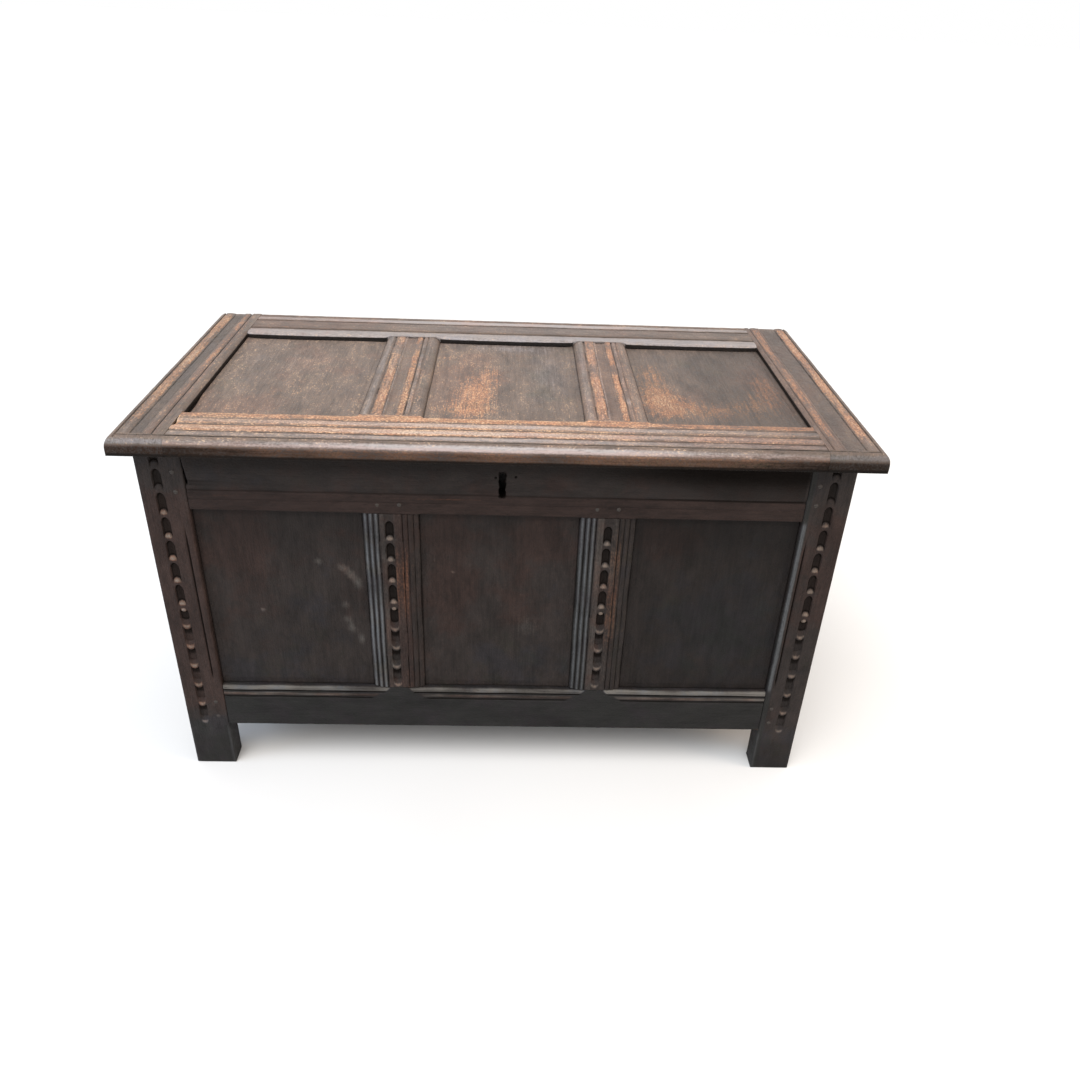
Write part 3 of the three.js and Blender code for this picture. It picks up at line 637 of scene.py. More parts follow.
class Carving:
    """A column of gouged hollows. Above the middle one, each hollow has a round top under the ball at the
    foot of the one above, and closes round its own ball at its foot. Below, each hollow drops from the round
    lip of the one above and rises to its own. centre and gap place the middle hollow, first and rise are the
    steps of the round tops above it, and fall that of the round lips below. A small ball sits in the top of
    the middle hollow. A ball is given by its height over its hollow's foot, or over the middle hollow's top,
    and by its half height and half width."""

    most = 12
    ball, ball_half = 5.8, (6.8, 6.7)
    small_ball, small_half = -5.2, (4.8, 5.2)
    lip, lip_length, middle_length = 1.5, 14, 16
    wall = 2.4

    def __init__(self, across, centre, gap, first, rise, fall, top, bottom, seed):
        rng = np.random.default_rng(seed)
        ups = centre + gap / 2 + first + rise * np.arange(-1, self.most)
        ups[0] = centre + gap / 2
        downs = centre - gap / 2 - fall * np.arange(self.most)
        ups = ups + rng.uniform(-0.8, 0.8, ups.size)
        downs = downs + rng.uniform(-0.8, 0.8, downs.size)
        self.ups = ups[ups < top]
        self.downs = downs[downs > bottom][::-1]
        self.across, self.seed = across, seed

    def parts(self, u, v):
        """How deep the gouge went, from 0 to 1, how much each point gets of the painted highlight on the balls
        and the lips, and how much of the painted shade below an edge."""
        half = size("scoop_width") / 2
        x = v - self.across - 0.5 * along(u, 90, self.seed)
        share = np.clip(x / half, -1, 1)
        arc = half * (1 - dome(share))
        section = np.clip(1 - share * share, 0, 1) ** 0.34
        high, low = u + 1.6 * arc, u - arc

        def ball_at(from_ball, halves):
            return dome(np.hypot(from_ball / halves[0], x / halves[1]))

        def lip_from(distance, reach):
            return dome(np.clip((distance - self.lip) / reach, 0, 1))

        k = np.clip(np.searchsorted(self.ups, high) - 1, 0, self.ups.size - 2)
        from_foot, to_top = u - self.ups[k], self.ups[k + 1] - high
        ball = ball_at(from_foot - self.ball, self.ball_half)
        in_upper = (high >= self.ups[0]) & (high <= self.ups[-1])
        upper = step(to_top / self.wall) * step((from_foot - 1.5) / 6) * (1 - ball) * in_upper

        k = np.clip(np.searchsorted(self.downs, low) - 1, 0, self.downs.size - 2)
        from_lip, to_next = low - self.downs[k], self.downs[k + 1] - low
        in_lower = (low <= self.downs[-1]) & (low >= self.downs[0])
        lower = step(to_next / self.wall) * (1 - lip_from(from_lip, self.lip_length)) * in_lower

        in_middle = (high < self.ups[0]) & (low > self.downs[-1])
        small = ball_at(u - self.ups[0] - self.small_ball, self.small_half)
        middle = step((self.ups[0] - high) / self.wall) * (1 - small) * in_middle
        middle = middle * (1 - lip_from(low - self.downs[-1], self.middle_length))

        depth = section * np.maximum(np.maximum(upper, lower), middle)
        # Painted highlight on the balls and the lips, and painted shade below the edges of the hollows.
        lit = np.maximum(ball * step((from_foot - 1) / 6) * in_upper, small * in_middle)
        lips = bell((from_lip - 5) / 7) * in_lower + bell((low - self.downs[-1] - 5) / 7) * in_middle
        dark = (upper + middle + 1.15 * lower * (1 - step((to_next - 8) / 10))) * section
        return depth, np.maximum(lit, 0.85 * lips * section), dark ** 1.3


# Members of the front

STILE_LEFT, STILE_RIGHT = span("corner_stile_front_left"), span("corner_stile_front_right")
FRONT_Y = STILE_LEFT[0][Y]
FRONT_TOP, FRONT_LOW = span("front_top_rail"), span("front_bottom_rail")
OPENING = (FRONT_LOW[1][Z], FRONT_TOP[0][Z])
INSIDE = (STILE_LEFT[1][X], STILE_RIGHT[0][X])
FRONT_MUNTINS = ("front_muntin_left", "front_muntin_right")
FRONT_BAYS = bays_of(FRONT_MUNTINS, X, INSIDE)
LYING, STANDING = Place(X, Z, Y, 1, FRONT_Y), Place(Z, X, Y, 1, FRONT_Y)

# FIT is the play at a member's shoulders, and TONGUE how far a panel or a board goes into its groove
FIT = 0.3
TONGUE = 3

# The centre, gap, first, rise and fall of each carved column
CARVINGS = {
    "corner_stile_front_left": (309.2, 42.5, 42, 40, 40),
    "corner_stile_front_right": (307.1, 43.2, 42.8, 40.5, 40.7),
    "front_muntin_left": (313.5, 49.8, 40.5, 38.3, 38),
    "front_muntin_right": (312.7, 46.4, 38.9, 38.8, 37.5),
}


def fitted(ends):
    """The ends of a member that fits between two others."""
    return ends[0] + FIT, ends[1] - FIT


def carved_stile(side):
    """A front corner stile: a carved column near its outer edge and a scratched line near its inner one."""
    node = f"corner_stile_front_{side}"
    low, high = span(node)
    left = side == "left"
    sign, outer, inner = (1, low[X], high[X]) if left else (-1, high[X], low[X])
    centre = outer + sign * (29 if left else 31)
    lowest, last_ball, scratch = 76, 528, 12.5
    carving = Carving(centre, *CARVINGS[node], high[Z] + 60, lowest, 11 if left else 12)
    plain = flat_face((low[Z], high[Z]), (low[X], high[X]), 21 if left else 22, 2.0)

    def shares(u, v):
        depth, lit, dark = carving.parts(u, v)
        inside = step((high[Z] - u) / 6)
        # The painted highlight on the balls stops below the top, where the lid's shadow falls.
        return depth * inside, lit * step((last_ball - u) / 40), dark * inside

    def line(u):
        return step((u - OPENING[0] - 4) / 25) * step((OPENING[1] - 8 - u) / 60)

    def face(u, v):
        from_inner, from_outer = np.maximum(sign * (inner - v), 0), np.maximum(sign * (v - outer), 0)
        soft = rounded(from_inner, 4.0) * step((u - OPENING[0]) / 12) * step((OPENING[1] - u) / 12)
        cut = grooves(from_inner, (2.2, scratch, 2.6)) * line(u)
        return plain(u, v) + size("scoop") * shares(u, v)[0] + cut + soft + rounded(from_outer, 4.0)

    def marks(u, v):
        _, lit, dark = shares(u, v)
        from_inner, from_outer = sign * (inner - v), sign * (v - outer)
        tall = between(u, 130, 530, 120)
        # Painted shade in the gap by the panel.
        gap = 0.5 * step((2 - from_inner) / 2) * between(u, *OPENING, 10)
        # Painted shade along the outer arris, and darker towards the foot.
        damp = 0.45 * step((3.5 - from_outer) / 3) + 0.45 * step((100 - u) / 50)
        # Painted pale highlight on the right stile's inner edge.
        edge = (0.1 if left else 0.6) * between(from_inner, 1, 8, 4) * between(u, *OPENING, 20)
        foot = 0.35 * between(from_inner, -1, 6, 4) * step((95 - u) / 20)
        reddish = 1.5 * tall * (1 if left else 0.7 * step((u - 230) / 130))
        # The same edge painted bluish, as cool light from the left.
        bluish = (0 if left else 2.8) * between(from_inner, 0, 8, 4)
        low_down = (2.0 if left else 0.8) * step((125 - u) / 50)
        # The hollows get painted shade and the balls and lips painted highlight, in colour and in tone.
        return {"soot": 0.66 * dark + grooves(from_inner, (0.6, scratch, 3)) * line(u) + damp + gap,
                "pale": 0.65 * lit + edge + foot,
                "rub": 1.3 * lit + (0.35 if left else 0.1) * tall,
                "warm": (reddish - bluish) * (1 - lit) - 0.5 * step((u - 520) / 60) - low_down,
                "tone": 0.25 * lit}

    pitch = spacing()
    u = lines(low[Z], high[Z], 0.95 * pitch, arris=2)
    line_at = inner - sign * (scratch + 0.5)
    fine = [(centre - 9, centre + 9, 0.7 * pitch), (line_at - 4, line_at + 4, 0.8 * pitch)]
    v = lines(low[X], high[X], 3 * pitch, fine, 2)
    made = board(node, STANDING, u, v, face, high[Y] - low[Y], exposed="WNS",
                 seed=1 if left else 2, tone=0.14 if left else 0.0, marks=marks)
    dress(made, "front", "carcase", node)


REEDS = 3
REED_WIDTH, REED_FALL = 8.3, 4.5


def reed_turn(distance):
    """How far across its reed a point at a distance from a member's edge lies, from -1 to 1, and whether it
    is on a reed at all."""
    turn = distance / REED_WIDTH
    return 2 * (turn - np.floor(turn)) - 1, (turn >= 0) & (turn < REEDS)


def reeds(distance):
    """Depth of a row of reeds: half circles side by side that fall away to the member's edge."""
    across, inside = reed_turn(distance)
    slope = REED_FALL * (1 - step(distance / (REED_WIDTH * (REEDS - 1))))
    return np.where(inside, size("reed") * (1 - dome(across)) ** 1.1, 0) + slope


def carved_muntin(side):
    """A front muntin: a carved column between two rows of reeds."""
    node = f"front_muntin_{side}"
    low, high = span(node)
    ends = fitted(OPENING)
    left = side == "left"
    centre = (low[X] + high[X]) / 2 + (-2 if left else 0.7)
    carving = Carving(centre, *CARVINGS[node], ends[1] + 30, ends[0] - 10, 13 if left else 14)
    plain = flat_face(ends, (low[X], high[X]), 23 if left else 24, 0.8)
    seed = 31 if left else 32

    def distances(u, v):
        stray = 0.35 * along(u, 120, seed)
        return v - low[X] + stray, high[X] - v + stray

    def shares(u, v):
        depth, lit, dark = carving.parts(u, v)
        inside = step((ends[1] - 5 - u) / 4)
        return depth * inside, lit * step((ends[1] - 10 - u) / 4), dark * inside

    def face(u, v):
        from_left, from_right = distances(u, v)
        return plain(u, v) + reeds(from_left) + reeds(from_right) + size("scoop") * shares(u, v)[0]

    def marks(u, v):
        _, lit, dark = shares(u, v)
        turns = [reed_turn(distance) for distance in distances(u, v)]
        # Dark between the reeds: dirt and painted shade.
        furrows = sum(np.where(inside, np.abs(across) ** 4, 0) * strength
                      for (across, inside), strength in zip(turns, (0.35, 0.2)))
        crests = [np.where(inside, np.clip(1 - 1.2 * np.abs(across), 0, 1) ** 0.7, 0)
                  for across, inside in turns]
        fade = 0.85 + 0.25 * along(u, 130, seed + 2)
        beside = bands(v, (0.42, low[X] + 26, centre - 6, 4), (0.28, centre + 6, high[X] - 26, 4))
        # Painted highlight on the reeds' crests, most on the left reeds that face the cool side light, and a
        # pale strip beside the carving.
        bloom_and_highlight = (0.9 if left else 0.7) * crests[0] + 0.1 * crests[1] + beside
        much = (1.1 if left else 1.3) * (1 - 0.45 * step((u - ends[1] + 110) / 90))
        much = much * (0.55 + 0.45 * step((u - ends[0] - 20) / 90)) * (0.85 + 0.4 * along(u, 140, seed + 4))
        on_reeds = between(v, high[X] - 27, high[X] - 16, 5) + 0.6 * step((v - high[X] + 18) / 5)
        # The right reeds rubbed orange: wear and painted warm side light.
        worn = (0.8 * crests[1] + 0.3) * on_reeds + 0.8 * between(v, centre + 6, high[X] - 24, 5)
        # The right reeds are painted warmer and the left reeds bluer: the wood's colour and painted warm and
        # cool side light.
        reddish = (1.2 if left else 0.5) * step((v - centre) / 12) - 0.9 * step((v - high[X] + 20) / 8)
        reddish = reddish + 0.5 * between(v, low[X] + 27, centre, 4)
        bluish = (1.2 if left else 1.5) * step((low[X] + 27 - v) / 5)
        # Painted shade in the hollows, painted highlight on the balls and the lips.
        return {"soot": 0.72 * dark + furrows,
                "pale": 0.65 * lit + bloom_and_highlight * fade,
                "rub": much * worn + 1.3 * lit,
                "warm": reddish * (1 - lit) - bluish,
                "tone": 0.25 * lit}

    pitch = spacing()
    u, v = lines(*ends, 0.95 * pitch), lines(low[X], high[X], 0.75 * pitch)
    made = board(node, STANDING, u, v, face, high[Y] - low[Y], proud="SN", seed=3, marks=marks)
    dress(made, "front", "carcase", node)


KEY_HALF_WIDTH, KEY_HALF_HEIGHT = 4.9, 21.0
NAIL_HOLES = ((-10.5, 569.0), (18.5, 571.0))


def front_top_rail():
    """The front's top rail: a groove and two ridges along its lower part, a slot for the key, and a gap at
    its left shoulder."""
    low, high = FRONT_TOP
    ends = fitted(INSIDE)
    plain = flat_face(ends, (low[Z], high[Z]), 25, 1.4)
    keyhole = next(o for o in frame["record"]["physics"]["openings"] if o["name"] == "keyhole")
    key_u, _, key_v = np.mean(keyhole["box_m"], axis=0) / MM
    half_u, half_v = KEY_HALF_WIDTH, KEY_HALF_HEIGHT

    def places(u, v):
        """Height over the lower edge, and how far a point lies in the channel and in the gap."""
        channel = between(v - low[Z], 39, 50, 6) * (1 - step((u - ends[0]) / 110))
        wide = 0.8 + 3.4 * step((586 - v) / 32)
        gap = (1 - step((u - ends[0]) / wide)) * between(v, 547, 584, 4)
        return v - low[Z] + 0.5 * along(u, 160, 33), channel, gap

    def pits(u, v, half):
        return sum(bell(np.hypot(u - x, v - z) / half) for x, z in NAIL_HOLES)

    def face(u, v):
        rise, channel, gap = places(u, v)
        cut = grooves(rise, (1.6, 33, 4.5), (1.0, 18, 2.6)) + ridges(rise, (19, 29, 0.5), (4, 16.5, 0.5))
        arris = rounded(np.maximum(v - low[Z], 0), 3.5) * in_bays(u, FRONT_BAYS, 5)
        return plain(u, v) + cut + arris + 2.0 * channel + 8 * gap + 1.6 * pits(u, v, 2.4)

    def marks(u, v):
        rise, channel, gap = places(u, v)
        # Painted shadow of the lid along the top, deeper to the right.
        shadow = 0.5 * step((v - 545) / 40) + 0.5 * step((u - 60) / 300) * step((v - 530) / 15)
        # The key slot painted black, as shade.
        slot = 0.7 * (np.abs(u - key_u) < half_u + 0.4) * (np.abs(v - key_v) < half_v + 0.4)
        worn = 0.7 * bell((rise - 26) / 4.5) + 0.2 * between(rise, 2, 15, 5)
        greenish = 0.4 * step((-120 - u) / 120) * step((v - 540) / 15)
        # Grooves and the channel go dark with dirt and painted shade, the gap at the left shoulder with
        # painted shade.
        return {"soot": (grooves(rise, (0.35, 33, 5)) + 0.5 * channel + 1.6 * gap + shadow + slot
                         + pits(u, v, 3.2)),
                "rub": worn * (0.8 + 0.5 * along(u, 200, 36)),
                "warm": 1.6 * step((36 - rise) / 5) + 0.3 - greenish}

    pitch = spacing()
    fine = [(ends[0], ends[0] + 6, 0.9), (key_u - half_u, key_u + half_u, half_u / 4)]
    fine += [(x - 3, x + 3, 1.0) for x, _ in NAIL_HOLES]
    u = lines(*ends, 5 * pitch, fine)
    fine = [(low[Z], low[Z] + 36, 0.8 * pitch), (key_v - half_v, key_v + half_v, half_v / 14)]
    v = lines(low[Z], high[Z], 3 * pitch, fine, 1.4)
    made = board("front_top_rail", LYING, u, v, face, high[Y] - low[Y], exposed="N",
                 proud="NS", hole=(key_u, key_v, half_u, half_v), seed=4, tone=-0.14, marks=marks)
    dress(made, "front", "carcase", "front_top_rail")


def front_bottom_rail():
    """The front's bottom rail: two ridges along its upper edge, run out before the muntins."""
    low, high = FRONT_LOW
    ends = fitted(INSIDE)
    plain = flat_face(ends, (low[Z], high[Z]), 26, 1.6)
    muntins = [(before[1], after[0]) for before, after in zip(FRONT_BAYS, FRONT_BAYS[1:])]
    run_out = 29

    def shares(u, v):
        """How far a point lies below the upper edge, and how much of the upper and of the lower ridge is
        there."""
        drop = high[Z] - v + 0.4 * along(u, 150, 35)
        clear = np.min([np.maximum(start + run_out - u, u - end + run_out) for start, end in muntins], axis=0)
        return drop, step((clear - 0.9 * drop + 2) / 6), step((clear - 1.1 * drop) / 10)

    def face(u, v):
        drop, near, far = shares(u, v)
        upper = rounded(np.maximum(drop, 0), 6.0) + grooves(drop, (2.2, 11.0, 2.6))
        lower = grooves(drop, (1.8, 23.5, 3.4)) + ridges(drop, (12.5, 21.5, 0.7))
        return plain(u, v) + upper * near + lower * far

    def marks(u, v):
        drop, near, far = shares(u, v)
        streaks = 0.18 * drift(0.12 * u, v, 5, 39)
        # Painted highlight on the upper faces of both ridges.
        bloom_and_highlight = ((0.95 + streaks) * between(drop, 1, 8.5, 3) * near
                  + (0.6 + streaks) * between(drop, 13.5, 19.5, 3) * far)
        foot = 0.9 * step((low[Z] + 6 - v) / 5) * step(along(u, 60, 37) - 0.2)
        lower = between(drop, 13.5, 21, 3) * far
        return {"soot": grooves(drop, (0.7, 11, 2.8)) * near + grooves(drop, (0.5, 24, 4)) * far,
                "pale": bloom_and_highlight * (0.85 + 0.4 * along(u, 130, 38)),
                "rub": 0.5 * lower + foot,
                "warm": 2.6 * lower + 1.7 * between(drop, 0, 9, 3) * near - 2.0}

    pitch = spacing()
    fine = [(start - 8, start + 34, 1.5 * pitch) for start, _ in muntins]
    fine += [(end - 34, end + 8, 1.5 * pitch) for _, end in muntins]
    u = lines(*ends, 4 * pitch, fine, 1.6)
    v = lines(low[Z], high[Z], 4 * pitch, [(high[Z] - 30, high[Z], 0.75 * pitch)], 1.6)
    made = board("front_bottom_rail", LYING, u, v, face, high[Y] - low[Y], exposed="S",
                 proud="SN", seed=5, tone=-0.18, marks=marks)
    dress(made, "front", "carcase", "front_bottom_rail")


def spots(u, v, places):
    """Soft round spots, each given by its u, its v, its half lengths along both, and its strength."""
    total = np.zeros(u.shape)
    for at_u, at_v, half_u, half_v, strength in places:
        total += strength * hump(u, at_u, half_u) * hump(v, at_v, half_v)
    return total


PANEL_EDGE = 6.4


def panel(node, place, u_ends, v_ends, front, finish, body, seed, margin=0.0, tone=0.0, pitch=4.0, rubbed=(),
          bloom=(), warmth=(), sink=None, edge_dirt_and_shade=0.8, shade=None, behind=None):
    """A panel in its grooves: a slightly hollow hand-planed face with a faint sunk margin, and a back
    feathered at its edges. Its face is darker at the edges with dirt and painted shade. front is the face's
    depth in the frame, sink a further surface that the face is lowered by and that darkens it with painted
    shade, and shade one of how much lighter it is in places."""
    def face(u, v):
        wave = size("unevenness") * (1.1 * drift(u, v, 220, seed) + 0.5 * drift(u, v, 60, seed + 1))
        lower = sink(u, v) if sink else 0
        edge = margin * (1 - step((from_sides(u, v, u_ends, v_ends) - 7) / 4))
        return front + 0.5 + wave + edge + lower

    def back(u, v):
        return front + PANEL_EDGE + 3.6 * step(from_sides(u, v, u_ends, v_ends) / 28)

    def marks(u, v):
        # Darker at the edges, dirt and painted shade, and darker where the face is sunk, painted shade in the
        # gap.
        soot = edge_dirt_and_shade * (1 - step((from_sides(u, v, u_ends, v_ends) - 0.3) / 3))
        return {"rub": spots(u, v, rubbed), "pale": spots(u, v, bloom), "warm": spots(u, v, warmth),
                "soot": soot + (0.5 * sink(u, v) if sink else 0), "tone": shade(u, v) if shade else 0.0}

    near = 1.3 * spacing()
    u, v = (lines(low - TONGUE, high + TONGUE, pitch * spacing(),
                  [(low - 1, low + 14, near), (high - 14, high + 1, near)]) for low, high in (u_ends, v_ends))
    made = board(node, place, u, v, face, front + PANEL_EDGE, back=back, seed=seed, tone=tone, behind=behind,
                 marks=marks)
    dress(made, finish, body, node)


FRONT_PANELS = {
    "left": {
        "tone": -0.03,
        "bloom": [(415, -281, 9, 9, 0.46), (405, -246, 9, 12, 0.46), (392, -234, 11, 9, 0.46),
                  (376, -223, 15, 9, 0.5), (334, -245, 10, 10, 0.44), (308, -244, 9, 9, 0.42),
                  (290, -238, 12, 8, 0.5), (268, -224, 14, 7, 0.5), (322, -376, 3.5, 3.5, 0.9),
                  (480, -437, 20, 12, 0.26), (434, -399, 14, 12, 0.24)],
        "warmth": [(430, -400, 90, 60, 1.4), (330, -290, 60, 50, -0.8), (200, -380, 40, 120, -1.0),
                   (370, -238, 60, 24, 0.9)]},
    "middle": {
        "tone": 0.0,
        "bloom": [(400, -75, 4, 4, 0.6), (422, -102, 4, 3, 0.5), (360, 30, 5, 3, 0.4),
                  (300, 40, 30, 26, 0.34)],
        "warmth": [(400, -80, 130, 40, 1.6), (460, 60, 50, 50, 1.4), (230, 20, 50, 90, -1.2),
                   (330, 20, 60, 40, 0.9)]},
    "right": {
        "tone": -0.34,
        "bloom": [(450, 240, 14, 30, 0.25)],
        "warmth": [(460, 260, 60, 60, 1.2), (300, 360, 130, 120, -1.4)]},
}


def front_panels():
    """The front's panels, with a painted shadow under the top rail."""
    for k, (side, bay) in enumerate(zip(FRONT_PANELS, FRONT_BAYS)):
        node = f"front_panel_{side}"
        panel(node, STANDING, OPENING, bay, span(node)[0][Y] - FRONT_Y, "front", "carcase", 41 + 2 * k,
              margin=0.5, shade=lambda u, v: -0.24 * step((u - 400) / 80), **FRONT_PANELS[side])


# Pegs and nails

HEAD_REACH = (0.001, 0.35, 0.7, 0.92, 1.0, 1.0, 0.001)
HEAD_RISE = (1.0, 0.95, 0.74, 0.42, 0.0)
HEAD_MARKS = {"relief": 0.3, "crest": 0.3, "rub": 0.3, "pale": 0.42, "soot": 0.0, "warm": 0.0, "tone": 0.0}
HEAD_SIDES = 10
HEAD_APART = 50


def studs(name, places, radius, height, depth, normal, seed):
    """Round heads in one mesh, each on a shank. A head is a stack of rings: their radii are shares of its
    radius, and their heights shares of its height. places are the head centres on the surface, and normal the
    way they look."""
    rng = np.random.default_rng(seed)
    reach = np.array(HEAD_REACH) * radius
    rise = np.array(HEAD_RISE + (-depth / height, -depth / height)) * height
    turn = np.arange(HEAD_SIDES) * 2 * np.pi / HEAD_SIDES
    axis = Vector(normal)
    across = axis.orthogonal().normalized()
    count, rings = len(places), len(reach)
    uneven = 1 + rng.uniform(-0.07, 0.07, (count, 1, HEAD_SIDES))
    a = reach[None, :, None] * uneven * np.cos(turn)
    b = reach[None, :, None] * uneven * np.sin(turn)
    w = np.broadcast_to(rise[None, :, None], a.shape)
    ways = (across, axis.cross(across), axis)
    offsets = sum(part[..., None] * np.array(way) for part, way in zip((a, b, w), ways))
    points = (np.array(places, float)[:, None, None, :] + offsets).reshape(-1, 3)
    index = np.arange(count * rings * HEAD_SIDES).reshape(count, rings, HEAD_SIDES)
    upper, lower = index[:, :-1, :], index[:, 1:, :]
    walls = np.stack([upper, lower, np.roll(lower, -1, axis=2), np.roll(upper, -1, axis=2)], axis=-1)
    ends = np.concatenate([index[:, 0, :], index[:, -1, ::-1]])
    grain = np.stack([w, a, b], axis=-1) + HEAD_APART * np.arange(count)[:, None, None, None]
    attributes = {key: np.full(len(points), value) for key, value in HEAD_MARKS.items()}
    return piece(name, points * MM, walls.reshape(-1, 4).tolist() + ends.tolist(),
                 {"grain": grain.reshape(-1, 3), **attributes})


def pegs():
    """Oak pegs: those of the rails' tenons stand for their nodes, and two more hold each muntin's tenon."""
    for node in frame["nodes"]:
        if node.startswith("peg_"):
            low, high = span(node)
            centre = ((low[X] + high[X]) / 2, FRONT_Y, (low[Z] + high[Z]) / 2)
            made = studs(node, [centre], (high[X] - low[X]) / 2, FRONT_Y - low[Y], high[Y] - FRONT_Y,
                         (0, -1, 0), len(node))
            dress(made, "front", "carcase", node)
    middles = [np.mean(span(node), axis=0)[X] for node in FRONT_MUNTINS]
    places = [(middle + x, FRONT_Y + 0.6, OPENING[1] + z)
              for middle in middles for x, z in ((-18, 14.5), (14, 15.5))]
    dress(studs("muntin_pegs", places, 3.2, 0.8, 12, (0, -1, 0), 5), "front", "carcase")


# Members of the sides, the back and the floor

def plain_member(node, place, u_ends, v_ends, thickness, seed, exposed="", shade=0.0):
    """A planed board with worn arrises. shade is how much lighter its face is than its back."""
    face = flat_face(u_ends, v_ends, seed, size("arris"))
    u, v = (lines(*ends, 12 * spacing(), arris=size("arris")) for ends in (u_ends, v_ends))
    tone = float(np.random.default_rng(seed).uniform(-0.15, 0.15))
    made = board(node, place, u, v, face, thickness, exposed=exposed, proud="", seed=seed, tone=tone + shade,
                 behind=tone)
    dress(made, "plain", "carcase", node)


def named(start, axis):
    """The CAD nodes whose names start so, in order along an axis."""
    nodes = [node for node in frame["nodes"] if node.startswith(start)]
    return sorted(nodes, key=lambda node: span(node)[0][axis])


PLAIN_TONES = (-0.1, 0.08, 0.0)


def plain_frame(prefix, stiles, axis, sign, seed, shade=0.0):
    """Rails, muntins and panels of a plain side or the back, between two stiles. axis is the one that the
    rails run along, sign the way in, and shade how much lighter the outer faces are than the inner ones."""
    inward = Y if axis == X else X
    boxes = {rail: span(f"{prefix}_{rail}_rail") for rail in ("top", "bottom")}
    low, high = boxes["bottom"]
    posts = sorted((span(node) for node in stiles), key=lambda box: box[0][axis])
    clear = (posts[0][1][axis], posts[1][0][axis])
    opening = (high[Z], boxes["top"][0][Z])
    level = low[inward] if sign > 0 else high[inward]
    thickness = high[inward] - low[inward]
    lying, standing = Place(axis, Z, inward, sign, level), Place(Z, axis, inward, sign, level)
    for k, (rail, box) in enumerate(boxes.items()):
        plain_member(f"{prefix}_{rail}_rail", lying, fitted(clear), (box[0][Z], box[1][Z]), thickness,
                     seed + k, exposed="NS"[k], shade=shade)
    muntins = named(f"{prefix}_muntin", axis)
    for k, node in enumerate(muntins):
        box = span(node)
        plain_member(node, standing, fitted(opening), (box[0][axis], box[1][axis]), thickness, seed + 2 + k,
                     shade=shade)
    bays = bays_of(muntins, axis, clear)
    for k, (node, bay) in enumerate(zip(named(f"{prefix}_panel", axis), bays)):
        box = span(node)
        depth = (box[0][inward] - level) if sign > 0 else (level - box[1][inward])
        panel(node, standing, opening, bay, depth, "plain", "carcase", seed + 10 + 2 * k, pitch=8,
              tone=PLAIN_TONES[k] + shade, behind=0.0, edge_dirt_and_shade=0.5)


def sides_and_back():
    """The plain frames of the back and both sides, and the back corner stiles."""
    stile = "corner_stile_{}_{}".format
    plain_frame("back", [stile("back", "left"), stile("back", "right")], X, -1, 100)
    for side, sign, seed in (("left", 1, 200), ("right", -1, 300)):
        plain_frame(f"{side}_side", [stile("front", side), stile("back", side)], Y, sign, seed, shade=-0.38)
    for side, seed in (("left", 401), ("right", 402)):
        low, high = span(stile("back", side))
        plain_member(stile("back", side), Place(Z, X, Y, -1, high[Y]), (low[Z], high[Z]), (low[X], high[X]),
                     high[Y] - low[Y], seed, exposed="WNSE", shade=-0.2)


def floor_boards():
    """The floor's boards, housed in the bottom rails."""
    low_x, high_x = span("left_side_bottom_rail")[1][X], span("right_side_bottom_rail")[0][X]
    along_y = (FRONT_LOW[1][Y] - TONGUE, span("back_bottom_rail")[0][Y] + TONGUE)
    for k in range(1, 5):
        node = f"floor_board_{k}"
        low, high = span(node)
        across = (max(low[X], low_x - TONGUE), min(high[X], high_x + TONGUE))
        plain_member(node, Place(Y, X, Z, -1, high[Z]), along_y, across, high[Z] - low[Z], 500 + k)


# The lid

LID_LEFT, LID_RIGHT = span("lid_stile_left"), span("lid_stile_right")
LID_FRONT, LID_BACK = span("lid_front_rail"), span("lid_back_rail")
LID_TOP = LID_LEFT[1][Z]
LID_THICK = LID_TOP - LID_LEFT[0][Z]
LID_Y = (LID_LEFT[0][Y], LID_LEFT[1][Y])
LID_INSIDE = (LID_LEFT[1][X], LID_RIGHT[0][X])
LID_OPENING = (LID_FRONT[1][Y], LID_BACK[0][Y])
LID_MUNTINS = ("lid_muntin_left", "lid_muntin_right")
LID_BAYS = bays_of(LID_MUNTINS, X, LID_INSIDE)
LID_ACROSS, LID_ALONG = Place(X, Y, Z, -1, LID_TOP), Place(Y, X, Z, -1, LID_TOP)
THUMB_WIDTH, THUMB_DROP, THUMB_POWER = 11.5, 22.0, 2.2
UNDERSIDE = -0.3
# The edge moulding's sides tuck under, and are painted dark as shade towards the underside.
LID_NOSE = {"tuck": 0.6, "curl": 4.0, "under": 1.4}


def thumb_curve(distance):
    """Depth of the lid's edge moulding at a distance from the edge: a slightly full quarter of an ellipse."""
    t = np.clip(1 - distance / THUMB_WIDTH, 0, 1)
    return THUMB_DROP * (1 - np.sqrt(1 - t ** THUMB_POWER))


def thumbnail(distance):
    """The edge moulding and the quirk behind it."""
    return thumb_curve(distance) + grooves(distance, (2.6, THUMB_WIDTH + 1.4, 2.0))


def nose_shares(distance):
    """How much a point at a distance from the lid's edge gets of the painted highlight on the shoulder of the
    edge moulding, and how much of the painted shade on its lower half."""
    drop = thumb_curve(distance)
    return between(drop, 2.8, 10.2, 5) * step((THUMB_WIDTH + 0.5 - distance) / 1.5), step((drop - 7.5) / 8)


def nose_lines(edge, inward):
    """Grid lines across the edge moulding, evenly spaced down its curve."""
    drop = np.linspace(1, 0, round(THUMB_DROP / spacing()))
    return edge + inward * THUMB_WIDTH * (1 - (1 - (1 - drop) ** 2) ** (1 / THUMB_POWER))


